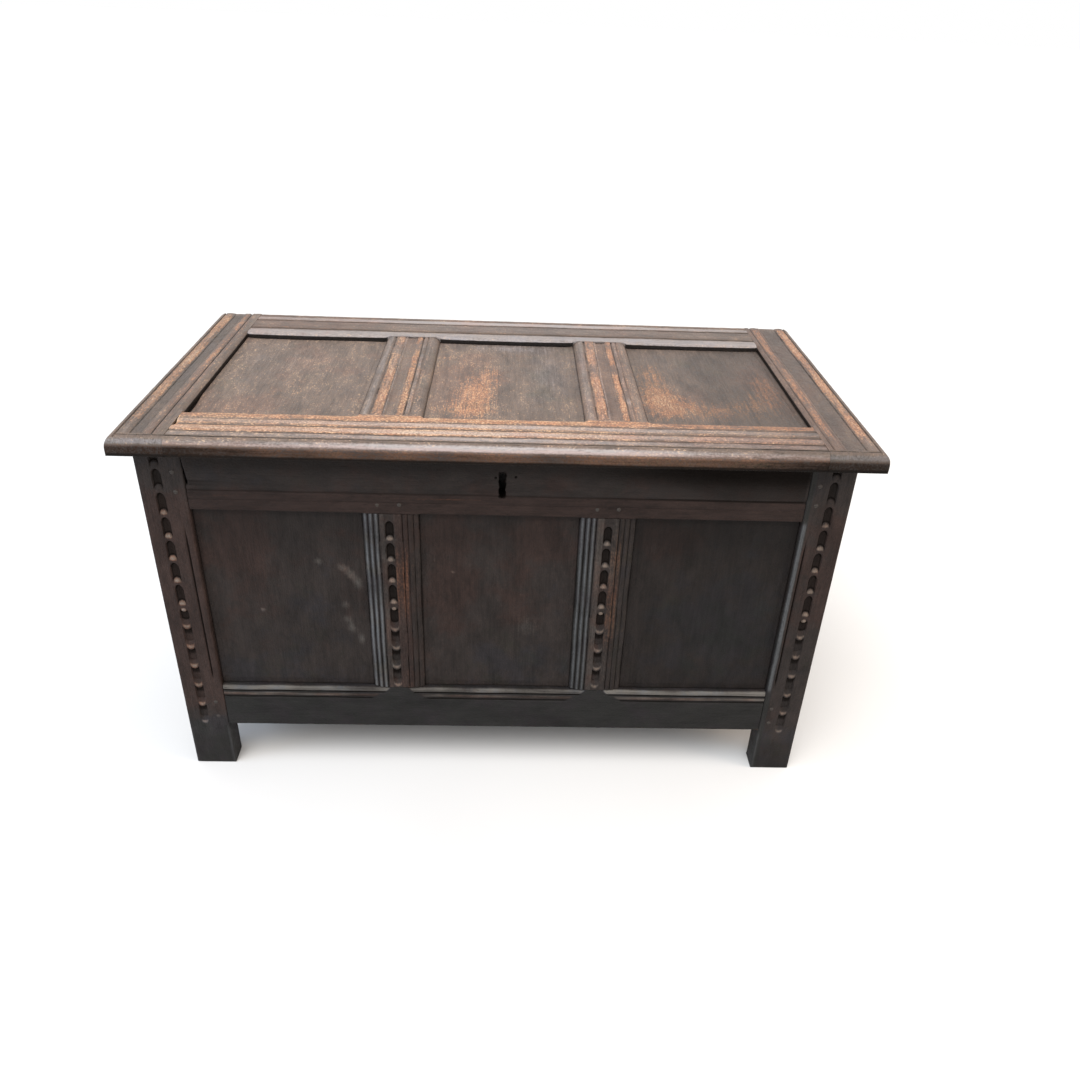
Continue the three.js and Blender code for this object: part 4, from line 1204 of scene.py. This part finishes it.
def lid_wear(u, v, seed):
    """Unevenness that old wear leaves on the lid."""
    wave = 0.5 * drift(u, v, 90, seed) + 0.45 * drift(u, v, 22, seed + 1) + 0.25 * drift(u, v, 9, seed + 2)
    return size("unevenness") * np.maximum(wave + 0.6, 0)


def round_corners(low, high, radii):
    """Moves points so that a lid's stile has round outer corners. radii are those of its low and high end,
    and negative where the outer side is the one of high v. A square is pressed into a quarter disc."""
    def warp(u, v):
        u, v = u.copy(), v.copy()
        for end, inward, radius in ((low[Y], 1, abs(radii[0])), (high[Y], -1, abs(radii[1]))):
            outer, side = (low[X], 1) if radii[0] > 0 else (high[X], -1)
            p = 1 - inward * (u - end) / radius
            q = 1 - side * (v - outer) / radius
            in_corner = (p > 0) & (q > 0)
            p, q = np.clip(p, 0, 1), np.clip(q, 0, 1)
            u = np.where(in_corner, end + inward * radius * (1 - p * np.sqrt(1 - q * q / 2)), u)
            v = np.where(in_corner, outer + side * radius * (1 - q * np.sqrt(1 - p * p / 2)), v)
        return u, v
    return warp


def busy(u):
    """How hard the lid's front was used, along x: most left of the middle, where hands reached in."""
    return 0.62 + 0.38 * hump(u, -90, 260) + 0.18 * along(u, 110, 58)


def lid_front_rail():
    """The lid's front rail: the edge moulding, a pale flat, two ridges between grooves and a rounded inner
    edge."""
    ends = fitted(LID_INSIDE)
    edge, inner = LID_Y[0], LID_FRONT[1][Y]

    def places(u, v):
        """How far a point lies from the edge, the same as the lines stray, and how far it is in the notch."""
        d = np.maximum(v - edge, 0)
        wide = 0.6 + 3.2 * step((76 - d) / 20)
        notch = (1 - step((u - ends[0]) / wide)) * between(d, 50, 76, 4)
        return d, d + 0.8 * along(u, 190, 51) * step((d - 18) / 10), notch

    def face(u, v):
        d, s, notch = places(u, v)
        cut = size("groove") * grooves(s, (0.8, 32, 2.4), (0.7, 55, 2.8), (0.6, 77.5, 2.4))
        cut += 0.8 * between(s, 14.5, 30.5, 3) + ridges(s, (33, 54, 1.4), (56, 77, 1.1), (79, 94, 0.5))
        fall = rounded(np.maximum(inner - edge - d, 0), 13) * 0.62 * in_bays(u, LID_BAYS, 5)
        return thumbnail(d) + cut + fall + lid_wear(u, v, 52) + 9 * notch

    def marks(u, v):
        d, s, notch = places(u, v)
        shoulder, lower = nose_shares(d)
        right = step((u - 40) / 160)
        worn = bands(s, (1.6 - 0.5 * right, 33, 54, 8), (1.25 - 0.3 * right, 57, 76, 8), (1.3, 79, 100, 8),
                     (0.7, 16, 30, 7))
        # Pale bands of old wax and painted sheen, strongest in the middle.
        bloom_and_highlight = bands(s, (0.75, 17, 29, 7), (0.74, 60, 75, 8), (0.72, 35, 50, 9))
        # The nose darker towards both ends.
        dark_ends = 0.25 * (step((-200 - u) / 300) + step((u - 250) / 300)) * step((20 - d) / 5)
        # Dark quirk and grooves: dirt and painted shade.
        lines_dark = grooves(d, (1.2, THUMB_WIDTH + 1.6, 2.4)) + grooves(s, (0.68, 32, 2.6), (0.425, 55, 3),
                                                                         (0.34, 78, 3))
        reddish = bands(s, (0.6, 80, 102, 6), (-0.5, 57, 76, 6)) + 2.0 * step((thumb_curve(d) - 4) / 6)
        far = 0.12 * step((u - 180) / 120) + 0.2 * step((u - 290) / 190)
        worn = worn * busy(u) + lower * (1 + 0.3 * along(u, 120, 59) + 0.35 * step((u - 100) / 200))
        # The moulding's shoulder gets a painted highlight, brightest in the middle, its lower half painted
        # shade, and the notch painted shade.
        return {"rub": worn,
                "pale": (1.25 * shoulder * (0.32 + 0.68 * hump(u, -10, 280))
                         + bloom_and_highlight * (0.6 + 0.4 * hump(u, -20, 250))),
                "soot": lines_dark + 0.66 * lower + 1.8 * notch + dark_ends,
                "warm": reddish + (0.5 * step((u - 60) / 200) + 0.2) * step((d - 14) / 4),
                "calm": step((d - THUMB_WIDTH - 2) / 3),
                "tone": 0.11 * between(s, 33, 104, 4) - 0.45 * lower - far}

    pitch = spacing()
    u = lines(*ends, 3.5 * pitch, [(ends[0], ends[0] + 8, 0.8 * pitch)], 1.0)
    v = lines(edge + THUMB_WIDTH, inner, pitch, [(edge + THUMB_WIDTH, edge + 16, 0.55 * pitch)], 1.0)
    made = board("lid_front_rail", LID_ACROSS, u, np.union1d(nose_lines(edge, 1), v), face,
                 LID_THICK, exposed="S", proud="SN", seed=6, behind=UNDERSIDE, marks=marks, **LID_NOSE)
    dress(made, "top", "lid", "lid_front_rail")


def lid_back_rail():
    """The lid's back rail: faint lines, and an inner ridge that bows forward between the muntins, painted pale
    with sheen over a gap painted black with shade.
    """
    ends = fitted(LID_INSIDE)
    edge, inner = LID_Y[1], LID_BACK[0][Y]
    width = edge - inner

    def places(u, v):
        e = np.maximum(edge - v, 0)
        return e, e + 0.7 * along(u, 170, 53)

    def face(u, v):
        e, s = places(u, v)
        cut = size("groove") * grooves(s, (0.5, 12, 2.4), (0.5, 34, 3), (0.6, 79, 3.4))
        crowns = ridges(s, (13, 33, 0.9), (35, 78, 0.7)) + ridges(s, (80, 106, 1.3)) * (s < 97)
        fall = rounded(np.maximum(width - e, 0), 8) * 0.66 * in_bays(u, LID_BAYS, 5)
        return rounded(e, 4) + cut + crowns + fall + lid_wear(u, v, 54)

    def bow(u, v):
        out = sum(np.sin(np.pi * np.clip((u - low) / (high - low), 0, 1)) for low, high in LID_BAYS)
        return u, v - 3.4 * np.sqrt(np.clip(out, 0, 1)) * (1 - step((v - inner) / 26))

    def marks(u, v):
        e, s = places(u, v)
        # The inner ridge is painted pale and cool, as sheen.
        inner_ridge = between(s, 86, 120, 9)
        # Pale bands of old wax and painted sheen, strongest in the middle.
        bloom_and_highlight = bands(s, (1.1, 13, 31, 7), (0.4, 40, 72, 10)) * (0.55 + 0.45 * hump(u, 20, 260))
        # Painted black shade in the gap under the inner ridge.
        gap = 1.2 * step((e - width + 0.8) / 0.7) * in_bays(u, LID_BAYS, 5)
        return {"rub": 0.4 * between(s, 45, 78, 10) * (0.6 + 0.6 * along(u, 150, 59)),
                "pale": bloom_and_highlight + 0.75 * inner_ridge,
                "soot": grooves(s, (0.75, 34, 4), (0.7, 79, 4)) + 0.6 * step((6 - e) / 5) + gap,
                "warm": 0.6 * step((-150 - u) / 150) + 0.3 - 0.9 * inner_ridge,
                "tone": -0.12 * between(s, 36, 78, 6)}

    pitch = spacing()
    u = lines(*ends, 3.5 * pitch, arris=1.0)
    v = lines(inner, edge, pitch, [(inner, inner + 9, 0.5 * pitch)], 1.6)
    # under paints the rail's sides dark towards the underside, as shade in the gap.
    made = board("lid_back_rail", LID_ACROSS, u, v, face, LID_THICK, exposed="N", proud="SN",
                 seed=7, tone=-0.08, behind=UNDERSIDE, under=1.6, warp=bow, marks=marks)
    dress(made, "top", "lid", "lid_back_rail")


# Each stile's outer ridge, sunk flat and inner ridge, from its outer side
LID_STILE_BANDS = {"left": ((14, 31), (32, 49), (50, 61)), "right": ((14, 30), (31, 62), (64, 78))}


def lid_stile(side):
    """An end stile of the lid: the edge moulding on its outer side and its front end, an outer and an inner
    ridge with a sunk flat between, and a rounded edge at the panels."""
    node = f"lid_stile_{side}"
    low, high = span(node)
    width = high[X] - low[X]
    left = side == "left"
    outer, flat, inner = LID_STILE_BANDS[side]
    groove = inner[1] + 1.2
    seed = 55 if left else 57

    def places(u, v):
        """How far a point lies from the outer side, from the front end and from the nearer of both, and the
        first of these as the lines stray."""
        d = np.maximum((v - low[X]) if left else (high[X] - v), 0)
        f = np.maximum(u - low[Y], 0)
        return d, f, np.minimum(d, f), d + 0.5 * along(u, 170, seed) * step((d - 18) / 10)

    def face(u, v):
        d, f, near, s = places(u, v)
        cut = ridges(s, (*outer, 1.4), (*inner, 1.0)) + 1.2 * between(s, *flat, 4)
        cut += 0.7 * size("groove") * grooves(s, (1, groove, 2.6), (0.5, flat[0], 2.2))
        fall = rounded(np.maximum(width - d, 0), 10) * 0.7 * between(u, *LID_OPENING, 6)
        moulded = np.maximum(thumbnail(d), thumbnail(f))
        return moulded + cut * step((near - THUMB_WIDTH - 2) / 2) + fall + lid_wear(u, v, seed + 1)

    def marks(u, v):
        d, f, near, s = places(u, v)
        shoulder, lower = nose_shares(near)
        front_shoulder, front_lower = nose_shares(f)
        top = step((f - THUMB_WIDTH - 3) / 6) * step((d - THUMB_WIDTH) / 2)
        top = top * (0.25 + 0.75 * step((high[Y] - 3 - u) / 12))
        worn = bands(s, (1.2, outer[0] - 1, outer[1] - 1, 7), (0.6 if left else 0.8, *inner, 7),
                     (0.4, inner[1] + 4, width - 7, 6))
        worn = worn * (0.9 + 0.3 * along(u, 150, seed + 2)) * step((u - low[Y] - 20) / 60)
        bloom_and_highlight = bands(s, (0.3, *flat, 8), (0.35, outer[0] + 5, outer[1] - 5, 7))
        reddish = bands(s, (1.0, inner[0], inner[1] + 8, 5), (-0.4, *flat, 5)) + (0.0 if left else 0.8)
        dirty = grooves(s, (0.5, groove, 3.2), (0.35, flat[0], 3)) + 0.5 * between(s, *flat, 6)
        # Dark quirk: dirt and painted shade.
        quirk = (grooves(f, (1.0, THUMB_WIDTH + 1.6, 2.4)) * step((d - THUMB_WIDTH) / 3)
                 + grooves(d, (0.4, THUMB_WIDTH + 1, 3)) * step((f - THUMB_WIDTH) / 3))
        # Painted shade in the gap by the panels.
        gap = 1.3 * step((d - width + 1.4) / 1.2) * between(u, *LID_OPENING, 8)
        # The first two tones darken the edge moulding's shoulder and lower half, part of its painted light and
        # shade.
        lighter = (-0.12, -0.4, 0.0, -0.08) if left else (-0.3, -0.5, 0.1, 0.12)
        # The moulding's shoulder gets a painted highlight, cool on the front end, and its lower half painted
        # shade.
        return {"rub": worn * top + 0.8 * lower,
                "pale": (0.55 if left else 0.5) * shoulder + bloom_and_highlight * top,
                "soot": quirk + 0.6 * lower + dirty * top + gap + 0.2 * step((low[Y] + 16 - u) / 10),
                "warm": reddish * top - 1.6 * front_shoulder + 1.4 * front_lower,
                "calm": step((near - THUMB_WIDTH - 2) / 3) * step((width - d - 8) / 3),
                "tone": (lighter[0] * shoulder + lighter[1] * lower
                         + bands(s, (lighter[2], *flat, 4), (lighter[3], *outer, 4)) * top)}

    pitch = spacing()
    start = low[Y] + THUMB_WIDTH
    fine = [(start, low[Y] + 17, 0.7 * pitch), (high[Y] - 14, high[Y], pitch)]
    u = lines(start, high[Y], 2.6 * pitch, fine, 0.8)
    flat_part = (low[X] + THUMB_WIDTH, high[X]) if left else (low[X], high[X] - THUMB_WIDTH)
    nose = nose_lines(low[X], 1) if left else nose_lines(high[X], -1)
    made = board(node, LID_ALONG, np.union1d(nose_lines(low[Y], 1), u),
                 np.union1d(nose, lines(*flat_part, pitch, arris=0.8)), face, LID_THICK,
                 exposed="WES" if left else "WEN", proud="WESN", seed=8 if left else 9,
                 tone=-0.1 if left else -0.2, behind=UNDERSIDE, marks=marks,
                 warp=round_corners(low, high, (2, 13) if left else (-4, -13)), **LID_NOSE)
    dress(made, "top", "lid", node)


def lid_muntin(side):
    """A lid muntin: a rounded grey edge, a worn ridge and a thin bead on each side of a sunk flat."""
    node = f"lid_muntin_{side}"
    low, high = span(node)
    ends = fitted(LID_OPENING)
    left = side == "left"
    seed = 61 if left else 63

    def across(u, v):
        return v - low[X] + 0.6 * along(u, 150, seed)

    def face(u, v):
        a = across(u, v)
        cut = grooves(a, (1, 17, 3), (0.5, 36, 1.8), (0.6, 55, 2.4), (1, 67.5, 2.4), (0.7, 76, 2))
        crowns = ridges(a, (18, 36, 1.3), (56, 67, 1.0), (68, 76, 0.6)) + 1.6 * between(a, 38, 53.5, 5)
        fall = 0.62 * (rounded(np.maximum(v - low[X], 0), 15) + rounded(np.maximum(high[X] - v, 0), 15))
        return 0.6 * size("groove") * cut + crowns + fall + lid_wear(u, v, seed + 1)

    def marks(u, v):
        a = across(u, v)
        front = 0.85 + 0.3 * step((40 - u) / 160) + 0.35 * along(u, 100, seed + 2)
        bead = 0.34 + 0.2 * along(u, 60, seed + 3)
        return {"rub": front * bands(a, (0.95, 18, 35, 9), (0.95, 55, 67, 7), (0.35, 68, 88, 8)),
                "pale": (bands(a, (bead, 68, 75, 4), (0.4, 4, 15, 9), (0.25, 79, 90, 6), (0.35, 22, 32, 7))
                         + grooves(a, (0.5, 36.5, 2.8))),
                # Dark grooves, dirt and painted shade, and painted shade at the back end under the back rail.
                "soot": (grooves(a, (0.36, 16.5, 3), (0.3, 67.5, 2.4), (0.24, 55, 3))
                         + bands(a, (0.3, 38, 54, 6), (0.3, 91, 99, 4)) + 0.5 * step((u - ends[1] + 9) / 6)),
                "warm": (0.4 if left else 1.2) - bands(a, (0.8, -5, 15, 5), (0.6, 80, 100, 5)),
                "calm": between(v, low[X] + 9, high[X] - 9, 8),
                "tone": 0.06 * between(a, 38, 54, 5)}

    pitch = spacing()
    u, v = lines(*ends, 2.4 * pitch), lines(low[X], high[X], 0.9 * pitch)
    made = board(node, LID_ALONG, u, v, face, LID_THICK, proud="SN", seed=seed, tone=-0.05, behind=UNDERSIDE,
                 marks=marks)
    dress(made, "top", "lid", node)


# gap is how wide the gap under the back rail is at the panel's left and right side. shadow is how much
# lighter the panel is to the left of a place, that place, and how much darker it gets to the right of it
LID_PANELS = {
    "left": {
        "tone": -0.04, "gap": (0.45, 1.0), "shadow": (0.0, 0, 0.0),
        "rubbed": [(-150, -420, 26, 70, 0.45), (-84, -322, 50, 60, 0.35), (6, -308, 60, 60, 0.2)],
        "bloom": [(60, -350, 90, 110, 0.2)],
        "warmth": [(-150, -420, 60, 90, 1.2), (60, -330, 90, 50, 0.6), (0, -420, 120, 30, -0.6)]},
    "middle": {
        "tone": 0.0, "gap": (1.0, 0.7), "shadow": (0.0, -30, 0.13),
        "rubbed": [(-70, -48, 80, 40, 1.1), (20, -25, 60, 22, 0.6), (-143, -60, 30, 70, 0.7),
                   (80, -90, 70, 40, 0.45)],
        "bloom": [(30, 66, 120, 40, 0.3), (150, 0, 24, 90, 0.4)],
        "warmth": [(-20, -60, 140, 55, 1.6), (0, 66, 150, 40, -1.2), (160, 0, 26, 120, -1.5)]},
    "right": {
        "tone": -0.3, "gap": (1.0, 0.4), "shadow": (0.07, 270, 0.26),
        "rubbed": [(-75, 248, 80, 38, 1.3), (-115, 330, 45, 80, 0.9), (50, 245, 55, 28, 0.75),
                   (10, 432, 70, 24, 0.75), (-70, 415, 60, 45, 0.6)],
        "bloom": [(120, 330, 50, 90, 0.2)],
        "warmth": [(10, 432, 110, 40, 1.6), (-80, 270, 80, 60, 0.8), (110, 320, 70, 90, -0.5)]},
}


def lid_panel(side, bay, seed, gap, shadow, **marks):
    """A panel of the lid, with a gap under the back rail that is widest within the bay, and one by the left
    stile, both sunk and painted dark as shade."""
    node = f"lid_panel_{side}"
    lighter, start, darker = shadow

    def sink(u, v):
        share = np.clip((v - bay[0]) / (bay[1] - bay[0]), 0, 1)
        fuller = gap[0] + (gap[1] - gap[0]) * share
        at_back = 4.6 * fuller * np.sqrt(np.sin(np.pi * share)) * step((u - LID_OPENING[1] + 9) / 6)
        wide = 1 + 3.5 * step((-90 - u) / 60)
        return at_back + 2.0 * step((bay[0] + wide - v) / 2) * (side == "left")

    def shade(u, v):
        return lighter - darker * step((v - start) / 90)

    panel(node, LID_ALONG, LID_OPENING, bay, LID_TOP - span(node)[1][Z], "top", "lid", seed,
          margin=0.8, pitch=3.5, sink=sink, shade=shade, behind=UNDERSIDE, **marks)


def lid_panels():
    """The lid's three panels."""
    for k, (side, bay) in enumerate(zip(LID_PANELS, LID_BAYS)):
        lid_panel(side, bay, 71 + 2 * k, **LID_PANELS[side])


# Ironwork

BODIES = {"hinge_leaf": "carcase", "hinge_pin": "carcase", "hinge_strap": "lid", "lock_case": "carcase",
          "lock_bolt": "bolt", "lock_staple": "lid"}


def forged(node):
    """A CAD node of iron with its edges worn round: its triangles merged to flat faces and bevelled."""
    source = bmesh.new()
    source.from_mesh(frame["nodes"][node].data)
    bmesh.ops.remove_doubles(source, verts=source.verts, dist=1e-6)
    bmesh.ops.dissolve_limit(source, angle_limit=math.radians(1), verts=source.verts, edges=source.edges)
    mesh = bpy.data.meshes.new(f"{node}_iron")
    source.to_mesh(mesh)
    source.free()
    made = bpy.data.objects.new(f"{node}_iron", mesh)
    bpy.context.scene.collection.objects.link(made)
    bevel = made.modifiers.new("worn_edges", "BEVEL")
    bevel.width, bevel.segments, bevel.limit_method = 0.0005, 2, "ANGLE"
    dress(made, "iron", next(body for start, body in BODIES.items() if node.startswith(start)), node)


def nails(name, places, radius, height, depth, normal, seed, body):
    """A row of forged nail heads that ride on a body."""
    dress(studs(name, places, radius, height, depth, normal, seed), "iron", body)


def ironwork():
    """The hinges, the lock and their nails."""
    for node in frame["nodes"]:
        if node.startswith(tuple(BODIES)):
            forged(node)
    radius, shank = size("nail"), 14
    down, back = (0, 0, -1), (0, 1, 0)
    for side in ("left", "right"):
        low, high = span(f"hinge_strap_{side}")
        middle = (low[X] + high[X]) / 2
        places = [(middle + x, low[Y] + y, high[Z] - 3) for x, y in ((0, 20), (8, 70), (-8, 120), (8, 165))]
        nails(f"strap_nails_{side}", places, radius, 1.8, shank, down, 3, "lid")
        low, high = span(f"hinge_leaf_{side}")
        places = [(middle + x, low[Y] + 3, low[Z] + z)
                  for x, z in ((-9, 12), (9, 12), (0, 34), (-9, 56), (9, 56))]
        nails(f"leaf_nails_{side}", places, radius, 1.8, shank, back, 4, "carcase")
    low, high = span("lock_case")
    places = [(x, low[Y] + 2.5, z)
              for x in (low[X] + 7.5, high[X] - 7.5) for z in (low[Z] + 12, high[Z] - 12)]
    nails("lock_nails", places, radius * 0.8, 1.5, shank, back, 6, "carcase")
    low, high = span("lock_staple")
    places = [(x, low[Y] + 10.5, high[Z] - 2.5) for x in (low[X] + 8, high[X] - 8)]
    nails("staple_nails", places, radius * 0.7, 1.3, 10, down, 7, "lid")


# The stage

def backdrop():
    """A wide pale floor: a flat disc of rings about the object."""
    radii = np.array([0.0005, 1, 2, 4, 8, 16, 32, 60])
    around = 48
    turn = np.arange(around) * 2 * np.pi / around
    x, y = radii[:, None] * np.cos(turn), radii[:, None] * np.sin(turn)
    index = np.arange(x.size).reshape(x.shape)
    inner, outer = index[:-1], index[1:]
    quads = np.stack([inner, outer, np.roll(outer, -1, axis=1), np.roll(inner, -1, axis=1)], axis=-1)
    mesh = bpy.data.meshes.new("studio_floor")
    polygons = quads.reshape(-1, 4).tolist() + [index[0].tolist()]
    mesh.from_pydata(np.stack([x, y, 0 * x], axis=-1).reshape(-1, 3).tolist(), [], polygons)
    made = bpy.data.objects.new("studio_floor", mesh)
    bpy.context.scene.collection.objects.link(made)
    t = Tree("studio_paper")
    soft = t.noise(t.add("ShaderNodeTexCoord").outputs["Object"], (0.7, 0.7, 0.7), 2.0)
    paper = t.mix(t.band(soft, -0.2, 0.2), (0.62, 0.62, 0.62), (0.65, 0.65, 0.65))
    made.data.materials.append(t.finish(paper, 0.9, **{"Specular IOR Level": 0.0}))


def camera(studio):
    """A camera of the given pitch, yaw and roll: it looks along +Y turned by them."""
    cos, sin = math.cos, math.sin
    level = cos(studio.pitch)
    ahead = Vector((sin(studio.yaw) * level, cos(studio.yaw) * level, -sin(studio.pitch)))
    right = Vector((cos(studio.yaw), -sin(studio.yaw), 0))
    up = right.cross(ahead)
    tilted_right = cos(studio.roll) * right + sin(studio.roll) * up
    tilted_up = -sin(studio.roll) * right + cos(studio.roll) * up
    data = bpy.data.cameras.new("camera")
    data.lens, data.sensor_width = studio.lens, 36
    made = bpy.data.objects.new("camera", data)
    made.matrix_world = Matrix.Translation(studio.place) @ Matrix(
        (tilted_right, tilted_up, -ahead)).transposed().to_4x4()
    bpy.context.scene.collection.objects.link(made)
    bpy.context.scene.camera = made


def light(name, kind, place, target, tint, **values):
    """A light at a place, turned to a target."""
    data = bpy.data.lights.new(name, kind)
    data.color = tint
    for key, value in values.items():
        setattr(data, key, value)
    made = bpy.data.objects.new(name, data)
    made.location = place
    made.rotation_mode = "QUATERNION"
    made.rotation_quaternion = (Vector(target) - Vector(place)).to_track_quat("-Z", "Y")
    bpy.context.scene.collection.objects.link(made)


def studio():
    """The floor, the camera, a broad key light, a cool and a warm side light, and a white surround."""
    _, _, values = settings()
    backdrop()
    camera(values)
    light("key_light", "SUN", (-0.8, -1.9, 4.0), (0, 0, 0.4), (1.0, 0.99, 0.97), energy=values.key,
          angle=values.key_spread)
    for name, x, tint in (("left_light", -3.0, (0.66, 0.80, 1.0)), ("right_light", 3.0, (1.0, 0.76, 0.55))):
        light(name, "AREA", (x, -0.9, 1.5), (0, 0, 0.35), tint, energy=values.side_power, size=1.4)
    world = bpy.data.worlds.new("studio")
    world.use_nodes = True
    surround = world.node_tree.nodes["Background"]
    surround.inputs["Color"].default_value = (1, 1, 1, 1)
    surround.inputs["Strength"].default_value = values.sky
    bpy.context.scene.world = world
    bpy.context.scene.view_settings.view_transform = "Standard"


# Operators

class CofferOperator:
    """Builds its pieces: each step is a function and what it is given."""

    bl_options = {"REGISTER", "UNDO"}

    def execute(self, context):
        for build, *given in self.steps:
            build(*given)
        return {"FINISHED"}


class COFFER_OT_front_stiles(CofferOperator, bpy.types.Operator):
    """Make the two carved front corner stiles"""

    bl_idname = "coffer.front_stiles"
    bl_label = "Front stiles"
    steps = ((carved_stile, "left"), (carved_stile, "right"))


class COFFER_OT_front_rails(CofferOperator, bpy.types.Operator):
    """Make the front's top rail with its keyhole, and its bottom rail"""

    bl_idname = "coffer.front_rails"
    bl_label = "Front rails"
    steps = ((front_top_rail,), (front_bottom_rail,))


class COFFER_OT_front_muntins(CofferOperator, bpy.types.Operator):
    """Make the two carved and reeded front muntins"""

    bl_idname = "coffer.front_muntins"
    bl_label = "Front muntins"
    steps = ((carved_muntin, "left"), (carved_muntin, "right"))


class COFFER_OT_front_panels(CofferOperator, bpy.types.Operator):
    """Make the three front panels"""

    bl_idname = "coffer.front_panels"
    bl_label = "Front panels"
    steps = ((front_panels,),)


class COFFER_OT_pegs(CofferOperator, bpy.types.Operator):
    """Make the oak pegs of the front"""

    bl_idname = "coffer.pegs"
    bl_label = "Pegs"
    steps = ((pegs,),)


class COFFER_OT_plain_frames(CofferOperator, bpy.types.Operator):
    """Make the plain frames of the sides and the back"""

    bl_idname = "coffer.plain_frames"
    bl_label = "Sides and back"
    steps = ((sides_and_back,),)


class COFFER_OT_floor_boards(CofferOperator, bpy.types.Operator):
    """Make the floor boards"""

    bl_idname = "coffer.floor_boards"
    bl_label = "Floor boards"
    steps = ((floor_boards,),)


class COFFER_OT_lid_frame(CofferOperator, bpy.types.Operator):
    """Make the lid's moulded rails, stiles and muntins"""

    bl_idname = "coffer.lid_frame"
    bl_label = "Lid frame"
    steps = ((lid_front_rail,), (lid_back_rail,), (lid_stile, "left"), (lid_muntin, "left"),
             (lid_stile, "right"), (lid_muntin, "right"))


class COFFER_OT_lid_panels(CofferOperator, bpy.types.Operator):
    """Make the three lid panels"""

    bl_idname = "coffer.lid_panels"
    bl_label = "Lid panels"
    steps = ((lid_panels,),)


class COFFER_OT_ironwork(CofferOperator, bpy.types.Operator):
    """Finish the hinges and the lock, and make their nails"""

    bl_idname = "coffer.ironwork"
    bl_label = "Ironwork"
    steps = ((ironwork,),)


class COFFER_OT_studio(CofferOperator, bpy.types.Operator):
    """Make the floor, the lights and the camera"""

    bl_idname = "coffer.studio"
    bl_label = "Studio"
    steps = ((studio,),)


OPERATORS = (COFFER_OT_front_stiles, COFFER_OT_front_rails, COFFER_OT_front_muntins, COFFER_OT_front_panels,
             COFFER_OT_pegs, COFFER_OT_plain_frames, COFFER_OT_floor_boards, COFFER_OT_lid_frame,
             COFFER_OT_lid_panels, COFFER_OT_ironwork, COFFER_OT_studio)


class COFFER_PT_panel(bpy.types.Panel):
    """Lists the coffer's sizes, colours and builders"""

    bl_label = "Coffer"
    bl_idname = "COFFER_PT_panel"
    bl_space_type = "VIEW_3D"
    bl_region_type = "UI"
    bl_category = "Coffer"

    def draw(self, context):
        for group in settings():
            box = self.layout.box()
            for key in group.__annotations__:
                box.prop(group, key)
        for operator in OPERATORS:
            self.layout.operator(operator.bl_idname)


CLASSES = (CofferSizes, CofferColours, CofferStudio, *OPERATORS, COFFER_PT_panel)


def register():
    for item in CLASSES:
        bpy.utils.register_class(item)
    bpy.types.Scene.coffer_sizes = PointerProperty(type=CofferSizes)
    bpy.types.Scene.coffer_colours = PointerProperty(type=CofferColours)
    bpy.types.Scene.coffer_studio = PointerProperty(type=CofferStudio)


def unregister():
    for key in ("coffer_sizes", "coffer_colours", "coffer_studio"):
        delattr(bpy.types.Scene, key)
    for item in reversed(CLASSES):
        bpy.utils.unregister_class(item)


def main():
    register()
    for operator in OPERATORS:
        group, name = operator.bl_idname.split(".")
        getattr(getattr(bpy.ops, group), name)()


if __name__ == "__main__":
    main()
